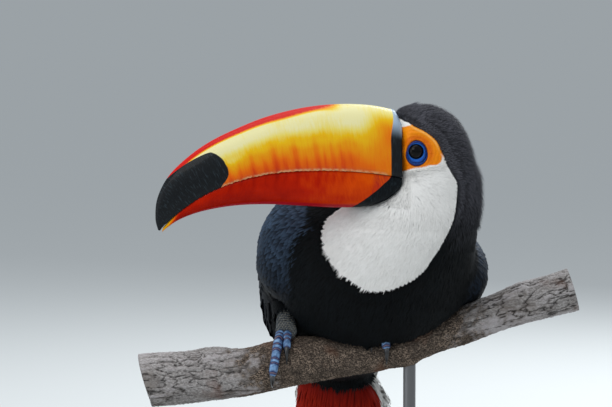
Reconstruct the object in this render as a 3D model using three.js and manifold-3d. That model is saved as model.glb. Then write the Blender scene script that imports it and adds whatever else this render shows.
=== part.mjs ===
// A life-size toco toucan gripping a short length of branch, held up by a plain display stand.
// Millimetres, +Z up. The bird faces -Y with its head turned to its right, so the bill points to -X.
// Everything is drawn about the perch point, the middle of the branch between the feet, and the
// exported group then lifts the whole thing so that the stand's underside is at Z = 0.
import * as THREE from "three";
import { mergeVertices } from "three/addons/utils/BufferGeometryUtils.js";
import Module from "manifold-3d";

const wasm = await Module();
wasm.setup();

// ---------------------------------------------------------------------------------------------
// Driving dimensions
// ---------------------------------------------------------------------------------------------
const PERCH_HEIGHT = 212; // perch point above the stand's underside
const PERCH_FORWARD = 30; // perch point in front of the base's middle, which lies under the weight
const GAP = 0.35; // clearance left between neighbouring solids
const BELLY_CLEARANCE = 1.6; // the plumage stays this far off the branch, past the toes' soles
const TOE_LIFT = 0.9; // from the wood to the toes' soles
const DEGREE = Math.PI / 180;

const HEAD_YAW = 12; // degrees the bill swings from -X towards the viewer at -Y
const HEAD_ORIGIN = [22, -66, 170]; // middle of the bill's base, at the height of the eyes
const EYE = { ahead: -10, up: 2, radius: 7.6, out: 19.6 }; // the ball's middle, from HEAD_ORIGIN
const EYE_RING = { radius: 7.2, thick: 1.9, out: 23.4 }; // the fleshy ring round each eye

// The plumage is parted across the spine where the head and the neck begin, given as its t.
const HEAD_FROM = 0.84;
const NECK_FROM = 0.66;
// The white bib is what lies in front of one plane, from the cheeks down to the breast.
const BIB = { point: [17, -68, 106], facing: [-0.17, -0.97, -0.13] };

const TAIL_LENGTH = 152;
const BODY_YAW = 14; // degrees that the breast faces to the right of -Y
const BODY_ROLL = 2; // degrees that the left shoulder is dropped, about the spine
const TAIL_YAW = -14; // the tail is twisted a little the other way

const BASE = { width: 270, depth: 200, thickness: 16, corner: 34, bevel: 2.5 };
const ROD = { x: 36, radius: 5, socket: 9 };
const COLLAR = { radius: 15, height: 9 };

// ---------------------------------------------------------------------------------------------
// Helpers: smooth tables, lofts and solids
// ---------------------------------------------------------------------------------------------
const vec = (x, y, z) => new THREE.Vector3(x, y, z);
const clamp = THREE.MathUtils.clamp;
const mix = THREE.MathUtils.lerp;

// A smooth curve through each column of a table whose rows are evenly spaced over t = 0..1.
function smoothTable(rows) {
  const columns = rows[0].map(
    (_, k) =>
      new THREE.SplineCurve(
        rows.map((row, i) => new THREE.Vector2(i, row[k])),
      ),
  );
  return (t) => columns.map((curve) => curve.getPoint(clamp(t, 0, 1)).y);
}

// Goes from 0 to 1 as a quarter of an ellipse over the first `length` of t: a rounded end.
const roundEnd = (t, length) =>
  t >= length ? 1 : Math.sqrt(Math.max(0, 1 - (1 - t / length) ** 2));
// A rounded end is cut off this little before it closes, so that its last ring keeps a size.
const END_STUB = 0.01;

// Closed skin over rings: ring(t, angle) for rows of t, with a point in the middle of each end.
function loft(ring, rows, around, spacing = (s) => s) {
  const positions = [];
  const indices = [];
  for (let i = 0; i <= rows; i++)
    for (let k = 0; k < around; k++)
      positions.push(...ring(spacing(i / rows), (2 * Math.PI * k) / around));
  const middle = (row) => {
    const sum = [0, 0, 0];
    for (let k = 0; k < around; k++)
      for (let c = 0; c < 3; c++)
        sum[c] += positions[(row * around + k) * 3 + c] / around;
    positions.push(...sum);
    return positions.length / 3 - 1;
  };
  const first = middle(0);
  const last = middle(rows);
  for (let k = 0; k < around; k++) {
    const next = (k + 1) % around;
    indices.push(first, next, k);
    indices.push(last, rows * around + k, rows * around + next);
    for (let i = 0; i < rows; i++) {
      const a = i * around + k;
      const b = i * around + next;
      indices.push(a, b, b + around, a, b + around, a + around);
    }
  }
  const geometry = new THREE.BufferGeometry();
  geometry.setAttribute(
    "position",
    new THREE.Float32BufferAttribute(positions, 3),
  );
  geometry.setIndex(indices);
  return geometry;
}

// Rows closer together near both ends, where a rounded end needs them.
const bunched = (s) => (1 - Math.cos(Math.PI * s)) / 2;

// A closed geometry as a manifold-3d solid, turned right way out.
function solidOf(geometry) {
  const bare = geometry.clone();
  bare.deleteAttribute("normal");
  bare.deleteAttribute("uv");
  const merged = mergeVertices(bare, 1e-4);
  const vertProperties = merged.attributes.position.array;
  const triVerts = new Uint32Array(merged.index.array);
  const make = () =>
    new wasm.Manifold(
      new wasm.Mesh({ numProp: 3, vertProperties, triVerts }),
    );
  const solid = make();
  if (solid.volume() > 0) return solid;
  for (let i = 0; i < triVerts.length; i += 3)
    [triVerts[i + 1], triVerts[i + 2]] = [triVerts[i + 2], triVerts[i + 1]];
  return make();
}

// The largest piece of a solid: a cut can leave crumbs behind.
function largest(solid) {
  const pieces = solid.decompose();
  return pieces.reduce((a, b) => (a.volume() > b.volume() ? a : b));
}

const without = (solid, ...cutters) =>
  cutters.reduce((left, cutter) => left.subtract(cutter), solid);

// The part of a solid on the far side of a plane, half a gap clear of it.
const beyond = (solid, point, normal) =>
  solid.trimByPlane(normal.toArray(), point.dot(normal) + GAP / 2);

// A round-section tube that follows centre(t), with radius(t), drawn from rings.
function tube(centre, radius, rows, around) {
  const step = 1e-3;
  return loft(
    (t, angle) => {
      const here = centre(t);
      const tangent = centre(Math.min(t + step, 1))
        .sub(centre(Math.max(t - step, 0)))
        .normalize();
      const helper = Math.abs(tangent.x) < 0.9 ? vec(1, 0, 0) : vec(0, 0, 1);
      const side = helper.cross(tangent).normalize();
      const other = tangent.clone().cross(side);
      const r = radius(t);
      return here
        .addScaledVector(side, r * Math.cos(angle))
        .addScaledVector(other, r * Math.sin(angle))
        .toArray();
    },
    rows,
    around,
  );
}

// ---------------------------------------------------------------------------------------------
// Body surface: rings about a spine that climbs from the tail root to the crown.
// Each row: centre x, y, z, then the radii to the bird's right, left, front (belly) and back.
// ---------------------------------------------------------------------------------------------
const BODY_ROWS = [
  [-20, 122, -70, 36, 36, 12, 27], // under the tail's root, only followed by the wing tips
  [-17, 98, -18, 41, 42, 26, 24], // vent and rump
  [-12, 66, 26, 68, 70, 52, 43], // thighs and lower belly
  [2, 33, 60, 83, 84, 69, 56], // middle of the body
  [14, -2, 90, 84, 80, 68, 60], // breast and shoulders
  [32, -36, 119, 56, 62, 51, 50], // root of the neck
  [50, -58, 149, 39, 45, 33, 42], // throat and cheeks
  [53, -61, 180, 25, 36, 23, 34], // inside the skull
];
const TRUNK_FROM = 0.11; // the trunk's own surface starts here, rounded over TRUNK_ROUND
const TRUNK_ROUND = 0.13;
const CROWN_ROUND = 0.2;
const BODY_STUB = 0.002; // as END_STUB, for the finer ends of the body
const bodyTable = smoothTable(BODY_ROWS);
const turned = (degrees) =>
  vec(Math.sin(degrees * DEGREE), -Math.cos(degrees * DEGREE), 0);

// The spine's point, its direction towards the head, and the section's front and left axes.
function bodyFrame(t) {
  const centre = vec(...bodyTable(t).slice(0, 3));
  const step = 0.01;
  const up = vec(...bodyTable(Math.min(t + step, 1)).slice(0, 3))
    .sub(vec(...bodyTable(Math.max(t - step, 0)).slice(0, 3)))
    .normalize();
  const facing = turned(BODY_YAW);
  const front = facing
    .addScaledVector(up, -facing.dot(up))
    .applyAxisAngle(up, -BODY_ROLL * DEGREE)
    .normalize();
  const left = up.clone().cross(front);
  return { centre, up, front, left };
}

// Point at angle degrees round the spine: 0 is the belly, 90 the bird's left, 180 the back.
function bodyPoint(t, angle, raised = 0, scale = 1) {
  const { centre, front, left } = bodyFrame(t);
  const [right, leftRadius, belly, back] = bodyTable(t).slice(3);
  const c = Math.cos(angle);
  const s = Math.sin(angle);
  const across = (s > 0 ? leftRadius : right) * scale + raised;
  const through = (c > 0 ? belly : back) * scale + raised;
  return centre
    .addScaledVector(front, through * c)
    .addScaledVector(left, across * s);
}

function bodySolid(grow = 0) {
  const ring = (s, angle) => {
    const t = mix(TRUNK_FROM, 1, s);
    const ends =
      roundEnd(s + BODY_STUB, TRUNK_ROUND) *
      roundEnd(1 + BODY_STUB - s, CROWN_ROUND);
    return bodyPoint(t, angle, grow, ends).toArray();
  };
  return solidOf(loft(ring, 16, 20));
}

// ---------------------------------------------------------------------------------------------
// Head: an ovoid carried along the head's own axis, from the bill's base to the nape
// ---------------------------------------------------------------------------------------------
const headForward = vec(
  -Math.cos(HEAD_YAW * DEGREE),
  -Math.sin(HEAD_YAW * DEGREE),
  0,
);
const headLeft = vec(
  Math.sin(HEAD_YAW * DEGREE),
  -Math.cos(HEAD_YAW * DEGREE),
  0,
);
// A point given in the head's frame: ahead of the bill's base, to the bird's left, and up.
const headPoint = (ahead, left, up) =>
  vec(...HEAD_ORIGIN)
    .addScaledVector(headForward, ahead)
    .addScaledVector(headLeft, left)
    .add(vec(0, 0, up));

// Places ahead of the bill's base with the crown's height, the jaw's height and the half width.
const HEAD_ROWS = [
  [-GAP, 34, -28, 22.5],
  [-12, 37.5, -32, 24.6],
  [-24, 38.5, -36, 27],
  [-38, 34.5, -38, 28],
  [-51, 24, -36, 26],
  [-63, 3, -27, 15],
];
const NAPE_ROUND = 0.24;
const headTable = smoothTable(HEAD_ROWS);

function headSolid() {
  const ring = (s, angle) => {
    const [ahead, crown, jaw, half] = headTable(s);
    const end = roundEnd(1 + END_STUB - s, NAPE_ROUND);
    const high = ((crown - jaw) / 2) * end;
    return headPoint(
      ahead,
      half * end * Math.sin(angle),
      (crown + jaw) / 2 + high * Math.cos(angle),
    ).toArray();
  };
  return solidOf(loft(ring, 10, 16));
}

// A round thing on the side of the head, its own +Z turned to point out of the skull.
function onCheek(geometry, side, out) {
  const at = headPoint(EYE.ahead, side * out, EYE.up);
  return geometry
    .lookAt(headLeft.clone().multiplyScalar(side))
    .translate(at.x, at.y, at.z);
}
const eyeSolid = (side, grow = 0) =>
  solidOf(
    onCheek(new THREE.SphereGeometry(EYE.radius + grow, 12, 8), side, EYE.out),
  );
const eyeRing = (side) =>
  solidOf(
    onCheek(
      new THREE.TorusGeometry(EYE_RING.radius, EYE_RING.thick, 4, 12),
      side,
      EYE_RING.out,
    ),
  );

// ---------------------------------------------------------------------------------------------
// Bill: two horn shells. Each ring lies between a point of the ridge and one of the cutting edge,
// so the rings swing round with the bill and the tip hooks down.
// ---------------------------------------------------------------------------------------------
// Rows: the ridge's place ahead and height, the cutting edge's place ahead and height, half width.
const UPPER_ROWS = [
  [0, 33, 0, -18, 21.5],
  [20, 37, 17, -15.5, 21.5],
  [45, 38, 41, -12.8, 20.6],
  [72, 35.5, 67, -12, 19],
  [100, 29, 92, -13, 17],
  [124, 20, 114, -16.5, 14.6],
  [146, 9.5, 133, -22, 12],
  [164, -3, 149, -29, 9.4],
  [178, -17, 162, -37, 7],
  [186, -33, 173, -46, 4.6],
  [187.5, -48, 181, -53.5, 2.4],
  [185.5, -57, 184, -57.5, 0.7],
];
const LOWER_ROWS = [
  [0, -29, 0, -18, 20.5],
  [9, -36.5, 12, -16.3, 20.6],
  [24, -41, 32, -13.8, 20.2],
  [48, -41.5, 55, -12.3, 18.9],
  [75, -39.8, 79, -12.4, 17],
  [100, -38.4, 101, -14.3, 15],
  [122, -38.8, 119, -17.8, 13],
  [141, -41, 136, -23, 10.8],
  [157, -44.6, 151, -30, 8.5],
  [170, -49.6, 164, -38.5, 5.8],
  [178, -54.8, 174, -47, 3.4],
  [182.5, -58.5, 181.5, -55, 0.9],
];
const SHELL_SQUARENESS = { upper: 0.72, lower: 0.6 };

// One shell: half an oval over the cutting edge, closed by a flat face along the other shell.
function mandible(rows, squareness, grow = 0) {
  const table = smoothTable(rows);
  const ring = (s, angle) => {
    const [ridgeAhead, ridgeUp, edgeAhead, edgeUp, half] = table(s);
    const rise = new THREE.Vector2(ridgeAhead - edgeAhead, ridgeUp - edgeUp);
    const height = rise.length();
    rise.normalize();
    const domed = Math.sin(angle) > 1e-6;
    const climb = domed
      ? GAP / 2 + (height - GAP / 2 + grow) * Math.sin(angle) ** squareness
      : GAP / 2 - grow;
    return headPoint(
      edgeAhead + rise.x * climb + grow * (2 * s - 1),
      (half + grow) * Math.cos(angle),
      edgeUp + rise.y * climb,
    ).toArray();
  };
  return solidOf(loft(ring, 14, 12, (s) => 1 - (1 - s) ** 1.3));
}
const upperBill = (grow) =>
  mandible(UPPER_ROWS, SHELL_SQUARENESS.upper, grow);
const lowerBill = (grow) =>
  mandible(LOWER_ROWS, SHELL_SQUARENESS.lower, grow);

// ---------------------------------------------------------------------------------------------
// Perch: a crooked length of branch, sawn square at both ends
// Each row: x, y, z and radius of the wood.
// ---------------------------------------------------------------------------------------------
const PERCH_ROWS = [
  [-176, 4, -16.5, 21.8],
  [-136, 3, -13, 20.4],
  [-96, 1, -9, 19.4],
  [-56, 0, 0, 19.6],
  [-16, 0, 3.5, 15.4],
  [24, 1, 8.5, 13.8],
  [64, 5, 22.5, 14],
  [104, 10, 37.5, 14.4],
  [138, 12, 48, 16.4],
  [168, 12, 57, 17],
];
const perchTable = smoothTable(PERCH_ROWS);
const perchXs = PERCH_ROWS.map((row) => row[0]);
// The branch's middle and radius at a given x.
const perchAt = (x) => {
  const i = clamp(
    perchXs.findIndex((right) => x <= right),
    1,
    perchXs.length - 1,
  );
  const share = (x - perchXs[i - 1]) / (perchXs[i] - perchXs[i - 1]);
  const [, y, z, radius] = perchTable((i - 1 + share) / (perchXs.length - 1));
  return { y, z, radius };
};
const SAWN_FACING = vec(1, 0, 0.3);
// Where each knot stands: its x, its angle round the wood from the back, its width and height.
const KNOTS = [
  { x: 33, angle: -125, width: 8, height: 3.2 },
  { x: -120, angle: 60, width: 13, height: 3.5 },
  { x: 128, angle: 120, width: 12, height: 3 },
  { x: -38, angle: -20, width: 8, height: 2 },
];

function perchSolid(grow = 0) {
  const centre = (t) => vec(...perchTable(t).slice(0, 3));
  const ring = (t, angle) => {
    const [x, y, z, radius] = perchTable(t);
    const ahead = centre(Math.min(t + 0.01, 1)).sub(
      centre(Math.max(t - 0.01, 0)),
    );
    const sawn = t < 0.01 || t > 0.99;
    const tangent = (sawn ? SAWN_FACING.clone() : ahead).normalize();
    const back = vec(0, 1, 0);
    const up = tangent.clone().cross(back).normalize();
    const lumps = KNOTS.reduce((sum, knot) => {
      const round = Math.cos(angle - knot.angle * DEGREE) - 1;
      const along = (x - knot.x) / knot.width;
      return sum + knot.height * Math.exp(-along * along + 3.2 * round);
    }, 0);
    const swell = 0.5 * Math.sin(x / 17 + 2 * angle);
    const r = radius + lumps + swell + grow;
    return vec(x, y, z)
      .addScaledVector(back, r * Math.cos(angle))
      .addScaledVector(up, r * Math.sin(angle))
      .toArray();
  };
  return solidOf(loft(ring, 17, 10));
}

// ---------------------------------------------------------------------------------------------
// Legs and feet: two toes reach forward over the branch and two back, each with its claw
// ---------------------------------------------------------------------------------------------
// For each toe: angles round the branch from its top (forward is positive) where it starts and
// ends, where the claw's tip is, how far it drifts outwards, and its radius at the root.
const FEET = [
  {
    side: "right",
    x: -61,
    outwards: -1,
    toes: {
      front_outer: { from: -8, to: 104, tip: 138, drift: 13, radius: 4.3 },
      front_inner: { from: -4, to: 60, tip: 88, drift: 1.5, radius: 3.8 },
      rear_outer: { from: 6, to: -98, tip: -134, drift: 10, radius: 4.2 },
      rear_inner: { from: 4, to: -58, tip: -90, drift: -5, radius: 3.7 },
    },
  },
  {
    side: "left",
    x: 11,
    outwards: 1,
    toes: {
      front_outer: { from: -8, to: 78, tip: 122, drift: 6, radius: 4.2 },
      front_inner: { from: -4, to: 34, tip: 64, drift: -6, radius: 3.8 },
      rear_outer: { from: 6, to: -98, tip: -136, drift: 9, radius: 4.2 },
      rear_inner: { from: 4, to: -58, tip: -92, drift: -6, radius: 3.7 },
    },
  },
];

// A point that rides on the branch: angle degrees forward of its top, clear of the wood by lift.
function overPerch(x, angle, lift) {
  const { y, z, radius } = perchAt(x);
  const r = radius + lift;
  return vec(
    x,
    y - r * Math.sin(angle * DEGREE),
    z + r * Math.cos(angle * DEGREE),
  );
}

const TOE = { spread: 0.35, knuckle: 0.9, taper: 0.22, pad: 0.35, pads: 3 };
const CLAW = { overlap: 5, arch: 2.3, root: 2.6, point: 0.45 };

function toeSolid(foot, toe, grow = 0) {
  const centre = (t) =>
    overPerch(
      foot.x + foot.outwards * toe.drift * mix(TOE.spread, 1, t),
      mix(toe.from, toe.to, t),
      toe.radius + TOE_LIFT + TOE.knuckle * Math.sin(Math.PI * t),
    );
  const radius = (t) => {
    const pads = TOE.pad * Math.cos(2 * Math.PI * TOE.pads * t);
    const ends = roundEnd(t + END_STUB, 0.08) * roundEnd(1 + END_STUB - t, 0.1);
    return (toe.radius * (1 - TOE.taper * t) + pads) * ends + grow;
  };
  return solidOf(tube(centre, radius, 6, 6));
}

function clawSolid(foot, toe, grow = 0) {
  const x = foot.x + foot.outwards * toe.drift;
  const sense = Math.sign(toe.to - toe.from);
  const centre = (t) => {
    const arch = CLAW.arch * Math.sin(Math.PI * Math.min(1, t + 0.15));
    return overPerch(
      x,
      mix(toe.to - sense * CLAW.overlap, toe.tip, t),
      mix(toe.radius + 0.6, 1.6, t) + arch,
    );
  };
  const radius = (t) => mix(CLAW.root, CLAW.point, t ** 0.8) + grow;
  return solidOf(tube(centre, radius, 4, 5));
}

// The shank rises from the branch's top, back into the belly feathers.
const SHANK = {
  outside: 2, // its foot's place outwards of the foot's middle
  forward: 8, // degrees round the branch
  lift: 8.5,
  steps: [vec(0, -5, -2), vec(0, 0, 0), vec(0, 9, 9), vec(0, 30, 24)],
  inwards: 3, // how far the heel leans towards the other leg
  radius: { ankle: 9.6, heel: 5.6 },
};

function shankSolid(foot, grow = 0) {
  const ankle = overPerch(
    foot.x + foot.outwards * SHANK.outside,
    SHANK.forward,
    SHANK.lift,
  );
  const last = SHANK.steps.length - 1;
  const curve = new THREE.CatmullRomCurve3(
    SHANK.steps.map((step, i) =>
      ankle
        .clone()
        .add(step)
        .add(vec(i === last ? -foot.outwards * SHANK.inwards : 0, 0, 0)),
    ),
  );
  const radius = (t) =>
    mix(SHANK.radius.ankle, SHANK.radius.heel, t) *
      roundEnd(t + 2 * END_STUB, 0.2) +
    grow;
  return solidOf(tube((t) => curve.getPoint(t), radius, 6, 8));
}

const footSolid = (foot, grow = 0) =>
  Object.values(foot.toes).reduce(
    (whole, toe) => whole.add(toeSolid(foot, toe, grow)),
    shankSolid(foot, grow),
  );

// ---------------------------------------------------------------------------------------------
// Wings: folded, each a raised patch that hugs the body from the shoulder to beyond the rump
// ---------------------------------------------------------------------------------------------
// Each row runs tip to shoulder: body's t, middle angle, half span (degrees) and thickness.
const WING_ROWS = [
  [0.01, 146, 14, 2.2],
  [0.1, 137, 34, 4],
  [0.23, 126, 45, 8],
  [0.36, 117, 48, 11],
  [0.48, 108, 45, 13],
  [0.57, 100, 35, 12.5],
  [0.63, 94, 19, 8],
];
const wingTable = smoothTable(WING_ROWS);
const WING_INSET = 6; // how far the wing's inner face lies under the body's own surface
const EDGE_INSET = 2; // and its edges, so that they come out of the plumage at a slope
const SPINE_LENGTH = 330; // with BODY_RADIUS, turns a clearance into steps of t and of angle
const BODY_RADIUS = 45;
const EDGE_CLEARANCE = 3; // thin edges are cut wider, so that their sloping faces come clear too

function wingSolid(side, grow = 0) {
  const ring = (s, angle) => {
    const [t, middle, span, thick] = wingTable(s);
    const ends =
      roundEnd(s + END_STUB, 0.1) * roundEnd(1 + END_STUB - s, 0.16);
    const across = Math.cos(angle);
    const lens = Math.abs(Math.sin(angle)) ** 0.8 * ends;
    const face = Math.sin(angle) > 0 ? thick : -WING_INSET;
    const raised =
      mix(-EDGE_INSET, face, lens) +
      grow * Math.sign(Math.round(2 * Math.sin(angle)));
    const round = (middle + across * span * ends) * DEGREE;
    return bodyPoint(
      t + ((2 * s - 1) * grow) / SPINE_LENGTH,
      side * (round + (across * EDGE_CLEARANCE * grow) / BODY_RADIUS),
      raised,
    ).toArray();
  };
  return solidOf(loft(ring, 13, 12));
}

// ---------------------------------------------------------------------------------------------
// Tail: closed feathers under soft coverts, hanging behind the branch
// ---------------------------------------------------------------------------------------------
const tailRoot = bodyFrame(0.1);
const tailDown = vec(-0.03, 0.3, -0.95).normalize();
const tailFront = turned(TAIL_YAW)
  .addScaledVector(tailDown, -turned(TAIL_YAW).dot(tailDown))
  .normalize();
const tailLeft = tailFront.clone().cross(tailDown);
// Rows: distance down from the tail's root, half width and half thickness.
const TAIL_ROWS = [
  [-14, 18, 8],
  [12, 25, 9],
  [45, 28, 6],
  [80, 30, 4],
  [115, 32, 2.8],
  [TAIL_LENGTH, 34, 2],
];
const tailTable = smoothTable(TAIL_ROWS);

function tailPoint(down, left, front) {
  return tailRoot.centre
    .clone()
    .addScaledVector(tailDown, down)
    .addScaledVector(tailLeft, left)
    .addScaledVector(tailFront, front);
}

function tailSolid() {
  const ring = (s, angle) => {
    const [down, half, thick] = tailTable(s);
    const end = roundEnd(1 + END_STUB - s, 0.13);
    return tailPoint(
      down,
      half * end * Math.cos(angle),
      thick * mix(0.5, 1, end) * Math.sin(angle),
    ).toArray();
  };
  return solidOf(loft(ring, 10, 10, (s) => 1 - (1 - s) ** 1.5));
}

// Soft feathers that cover the tail's root: red in front of it and white behind.
const COVERT_START = -22; // from the tail's root, inside the body
const COVERTS = {
  under: { front: 7, length: 66, width: 40, depth: 14 },
  upper: { front: -7, length: 56, width: 44, depth: 13 },
};

function covertSolid({ front, length, width, depth }, grow = 0) {
  const ring = (s, angle) => {
    const ends =
      roundEnd(s + END_STUB, 0.5) * roundEnd(1 + END_STUB - s, 0.55);
    return tailPoint(
      mix(COVERT_START, length, s),
      (width * ends + grow) * Math.cos(angle),
      front + (depth * ends + grow) * Math.sin(angle),
    ).toArray();
  };
  return solidOf(loft(ring, 7, 10, bunched));
}
const undertail = (grow) => covertSolid(COVERTS.under, grow);
const uppertail = (grow) => covertSolid(COVERTS.upper, grow);

// ---------------------------------------------------------------------------------------------
// Stand: a flat base with eased edges, one rod and the collar that it stands in
// ---------------------------------------------------------------------------------------------
function baseGeometry() {
  const { width, depth, thickness, corner, bevel } = BASE;
  const x = width / 2 - bevel;
  const y = depth / 2 - bevel;
  const r = corner - bevel;
  const outline = new THREE.Shape();
  outline.moveTo(x - r, -y);
  outline.absarc(x - r, -y + r, r, -Math.PI / 2, 0);
  outline.absarc(x - r, y - r, r, 0, Math.PI / 2);
  outline.absarc(-x + r, y - r, r, Math.PI / 2, Math.PI);
  outline.absarc(-x + r, -y + r, r, Math.PI, 1.5 * Math.PI);
  outline.closePath();
  return new THREE.ExtrudeGeometry(outline, {
    depth: thickness - 2 * bevel,
    bevelThickness: bevel,
    bevelSize: bevel,
    bevelSegments: 1,
    curveSegments: 3,
  }).translate(0, PERCH_FORWARD, bevel - PERCH_HEIGHT);
}

// An upright round bar at the place where the rod stands.
const STAND_SIDES = 16;
const rodSeat = perchAt(ROD.x);
const uprightBar = (radius, low, high) =>
  solidOf(
    new THREE.CylinderGeometry(radius, radius, high - low, STAND_SIDES)
      .rotateX(Math.PI / 2)
      .translate(ROD.x, rodSeat.y, (low + high) / 2),
  );

// ---------------------------------------------------------------------------------------------
// Assembly: what is harder keeps its shape, and what is softer is cut round it
// ---------------------------------------------------------------------------------------------
const MATERIALS = {
  black_plumage: { color: 0x0b0c10, roughness: 0.62 },
  white_plumage: { color: 0xe4e2d8, roughness: 0.8 },
  red_plumage: { color: 0xa81c0a, roughness: 0.75 },
  bill_upper: { color: 0xe88a12, roughness: 0.28 },
  bill_lower: { color: 0xd2440c, roughness: 0.28 },
  eye: { color: 0x0a0806, roughness: 0.05 },
  leg: { color: 0x4478b8, roughness: 0.55 },
  claw: { color: 0x101216, roughness: 0.35 },
  bark: { color: 0x6b5646, roughness: 0.92 },
  stand_wood: { color: 0x3a2a1e, roughness: 0.45 },
  stand_metal: { color: 0x2e2f31, roughness: 0.35, metalness: 0.9 },
};
const materials = Object.fromEntries(
  Object.entries(MATERIALS).map(([name, look]) => [
    name,
    new THREE.MeshStandardMaterial({ name, metalness: 0, ...look }),
  ]),
);

const toucan = new THREE.Group();
toucan.position.set(0, -PERCH_FORWARD, PERCH_HEIGHT);

function addNode(name, solid, material) {
  const { numProp, vertProperties, triVerts } = largest(solid).getMesh();
  const positions = [];
  for (const v of triVerts)
    positions.push(...vertProperties.subarray(v * numProp, v * numProp + 3));
  const geometry = new THREE.BufferGeometry();
  geometry.setAttribute(
    "position",
    new THREE.Float32BufferAttribute(positions, 3),
  );
  geometry.computeVertexNormals();
  const mesh = new THREE.Mesh(geometry, materials[material]);
  mesh.name = name;
  toucan.add(mesh);
}

function addStand() {
  const plate = BASE.thickness - PERCH_HEIGHT + GAP;
  const top = rodSeat.z - rodSeat.radius + ROD.socket;
  const rod = (grow) => uprightBar(ROD.radius + grow, plate, top + grow);
  const collar = uprightBar(COLLAR.radius, plate, plate + COLLAR.height);
  addNode("stand_base", solidOf(baseGeometry()), "stand_wood");
  addNode("stand_rod", rod(0), "stand_metal");
  addNode("stand_collar", collar.subtract(rod(GAP)), "stand_metal");
  addNode("perch", perchSolid().subtract(rod(GAP)), "bark");
}

function addFeet() {
  for (const foot of FEET) {
    const toes = Object.entries(foot.toes);
    const claws = toes.map(([, toe]) => clawSolid(foot, toe, GAP));
    const wood = perchSolid(GAP);
    addNode(
      `leg_${foot.side}`,
      without(footSolid(foot), wood, ...claws),
      "leg",
    );
    for (const [name, toe] of toes)
      addNode(
        `claw_${foot.side}_${name}`,
        clawSolid(foot, toe).subtract(wood),
        "claw",
      );
  }
}

function addHeadAndBill() {
  addNode("bill_upper", upperBill(), "bill_upper");
  addNode("bill_lower", lowerBill(), "bill_lower");
  addNode("eye_left", eyeSolid(1), "eye");
  addNode("eye_right", eyeSolid(-1), "eye");
}

function addPlumage() {
  const feet = FEET.flatMap((foot) => [
    footSolid(foot, GAP),
    ...Object.values(foot.toes).map((toe) => clawSolid(foot, toe, GAP)),
  ]);
  const horn = [upperBill(GAP), lowerBill(GAP)];
  const eyes = [eyeSolid(1, GAP), eyeSolid(-1, GAP)];
  const wood = perchSolid(BELLY_CLEARANCE);
  const wings = [wingSolid(1, GAP), wingSolid(-1, GAP)];

  addNode("wing_left", without(wingSolid(1), wood, ...feet), "black_plumage");
  addNode("wing_right", without(wingSolid(-1), wood, ...feet), "black_plumage");

  const body = without(
    bodySolid().add(headSolid()).add(eyeRing(1)).add(eyeRing(-1)),
    ...horn,
    ...eyes,
    ...wings,
    ...feet,
    wood,
  );
  const { centre: throat, up: climb } = bodyFrame(HEAD_FROM);
  const { centre: shoulder, up: slope } = bodyFrame(NECK_FROM);
  const bibPoint = vec(...BIB.point);
  const bibFacing = vec(...BIB.facing).normalize();
  const away = (direction) => direction.clone().negate();

  const head = beyond(body, throat, climb);
  const below = beyond(body, throat, away(climb));
  const bib = beyond(below, bibPoint, bibFacing);
  const behind = beyond(below, bibPoint, away(bibFacing));
  addNode("head", head, "black_plumage");
  addNode("bib", bib, "white_plumage");
  addNode("neck", beyond(behind, shoulder, slope), "black_plumage");
  addNode("trunk", beyond(behind, shoulder, away(slope)), "black_plumage");

  const grownBody = bodySolid(GAP);
  const red = without(undertail(), grownBody, ...wings, wood);
  const white = without(
    uppertail(),
    grownBody,
    ...wings,
    undertail(GAP),
    wood,
  );
  addNode("undertail_coverts", red, "red_plumage");
  addNode("uppertail_coverts", white, "white_plumage");
  addNode(
    "tail",
    without(
      tailSolid(),
      grownBody,
      ...wings,
      undertail(GAP),
      uppertail(GAP),
      wood,
    ),
    "black_plumage",
  );
}

addStand();
addFeet();
addHeadAndBill();
addPlumage();

export default toucan;
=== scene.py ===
# %% [markdown]
# # A toco toucan on a cut branch
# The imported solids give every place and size. Around them this lesson makes the looks: one skin
# for the body with a coat of small feathers over it, a horn bill, eyes, scaly feet, bark and a
# plain display stand. Every shape is worked out in millimetres, in the solids' own frame.
# %% Load the solids
import math

import bpy
import numpy as np
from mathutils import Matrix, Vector


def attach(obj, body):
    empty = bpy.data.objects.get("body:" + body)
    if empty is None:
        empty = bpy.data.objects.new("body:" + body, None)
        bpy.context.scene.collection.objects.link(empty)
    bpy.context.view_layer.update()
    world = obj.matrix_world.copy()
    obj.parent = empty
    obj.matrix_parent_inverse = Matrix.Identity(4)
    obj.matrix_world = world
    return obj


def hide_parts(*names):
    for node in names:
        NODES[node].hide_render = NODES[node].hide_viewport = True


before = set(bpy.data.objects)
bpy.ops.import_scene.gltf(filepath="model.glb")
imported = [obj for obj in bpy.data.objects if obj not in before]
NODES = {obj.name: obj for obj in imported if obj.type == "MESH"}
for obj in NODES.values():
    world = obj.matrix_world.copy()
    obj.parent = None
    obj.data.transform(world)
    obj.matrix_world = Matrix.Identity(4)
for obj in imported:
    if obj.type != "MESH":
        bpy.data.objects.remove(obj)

bpy.context.view_layer.update()
MM = 0.001

# %% [markdown]
# ## Camera and light
# A long lens from two metres away, a little above the bird's head and looking slightly down.
# The light is a bright overcast day: a pale world and four broad soft lamps. The key stands in
# front and above, a weaker fill lower on the same side, and one lamp hangs overhead. The
# strongest stands behind and draws the rims of the black feathers. The camera sees the world
# darker than its light is, so that the floor fades into it.
# %% Camera
AIM = np.array([-47.2, -30.0, 338.8])
DISTANCE = 2000.0
DOWNWARD = math.radians(3.5)
LENS = 147.0

looking = np.array([0.0, math.cos(DOWNWARD), -math.sin(DOWNWARD)])
camera_data = bpy.data.cameras.new("camera")
camera_data.lens = LENS
camera_data.sensor_width = 36.0
camera_data.clip_end = 200.0
camera = bpy.data.objects.new("camera", camera_data)
camera.location = (AIM - looking * DISTANCE) * MM
camera.rotation_euler = (math.pi / 2 - DOWNWARD, 0.0, 0.0)
bpy.context.scene.collection.objects.link(camera)
bpy.context.scene.camera = camera
print("camera at", tuple(round(c, 3) for c in camera.location))


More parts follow.
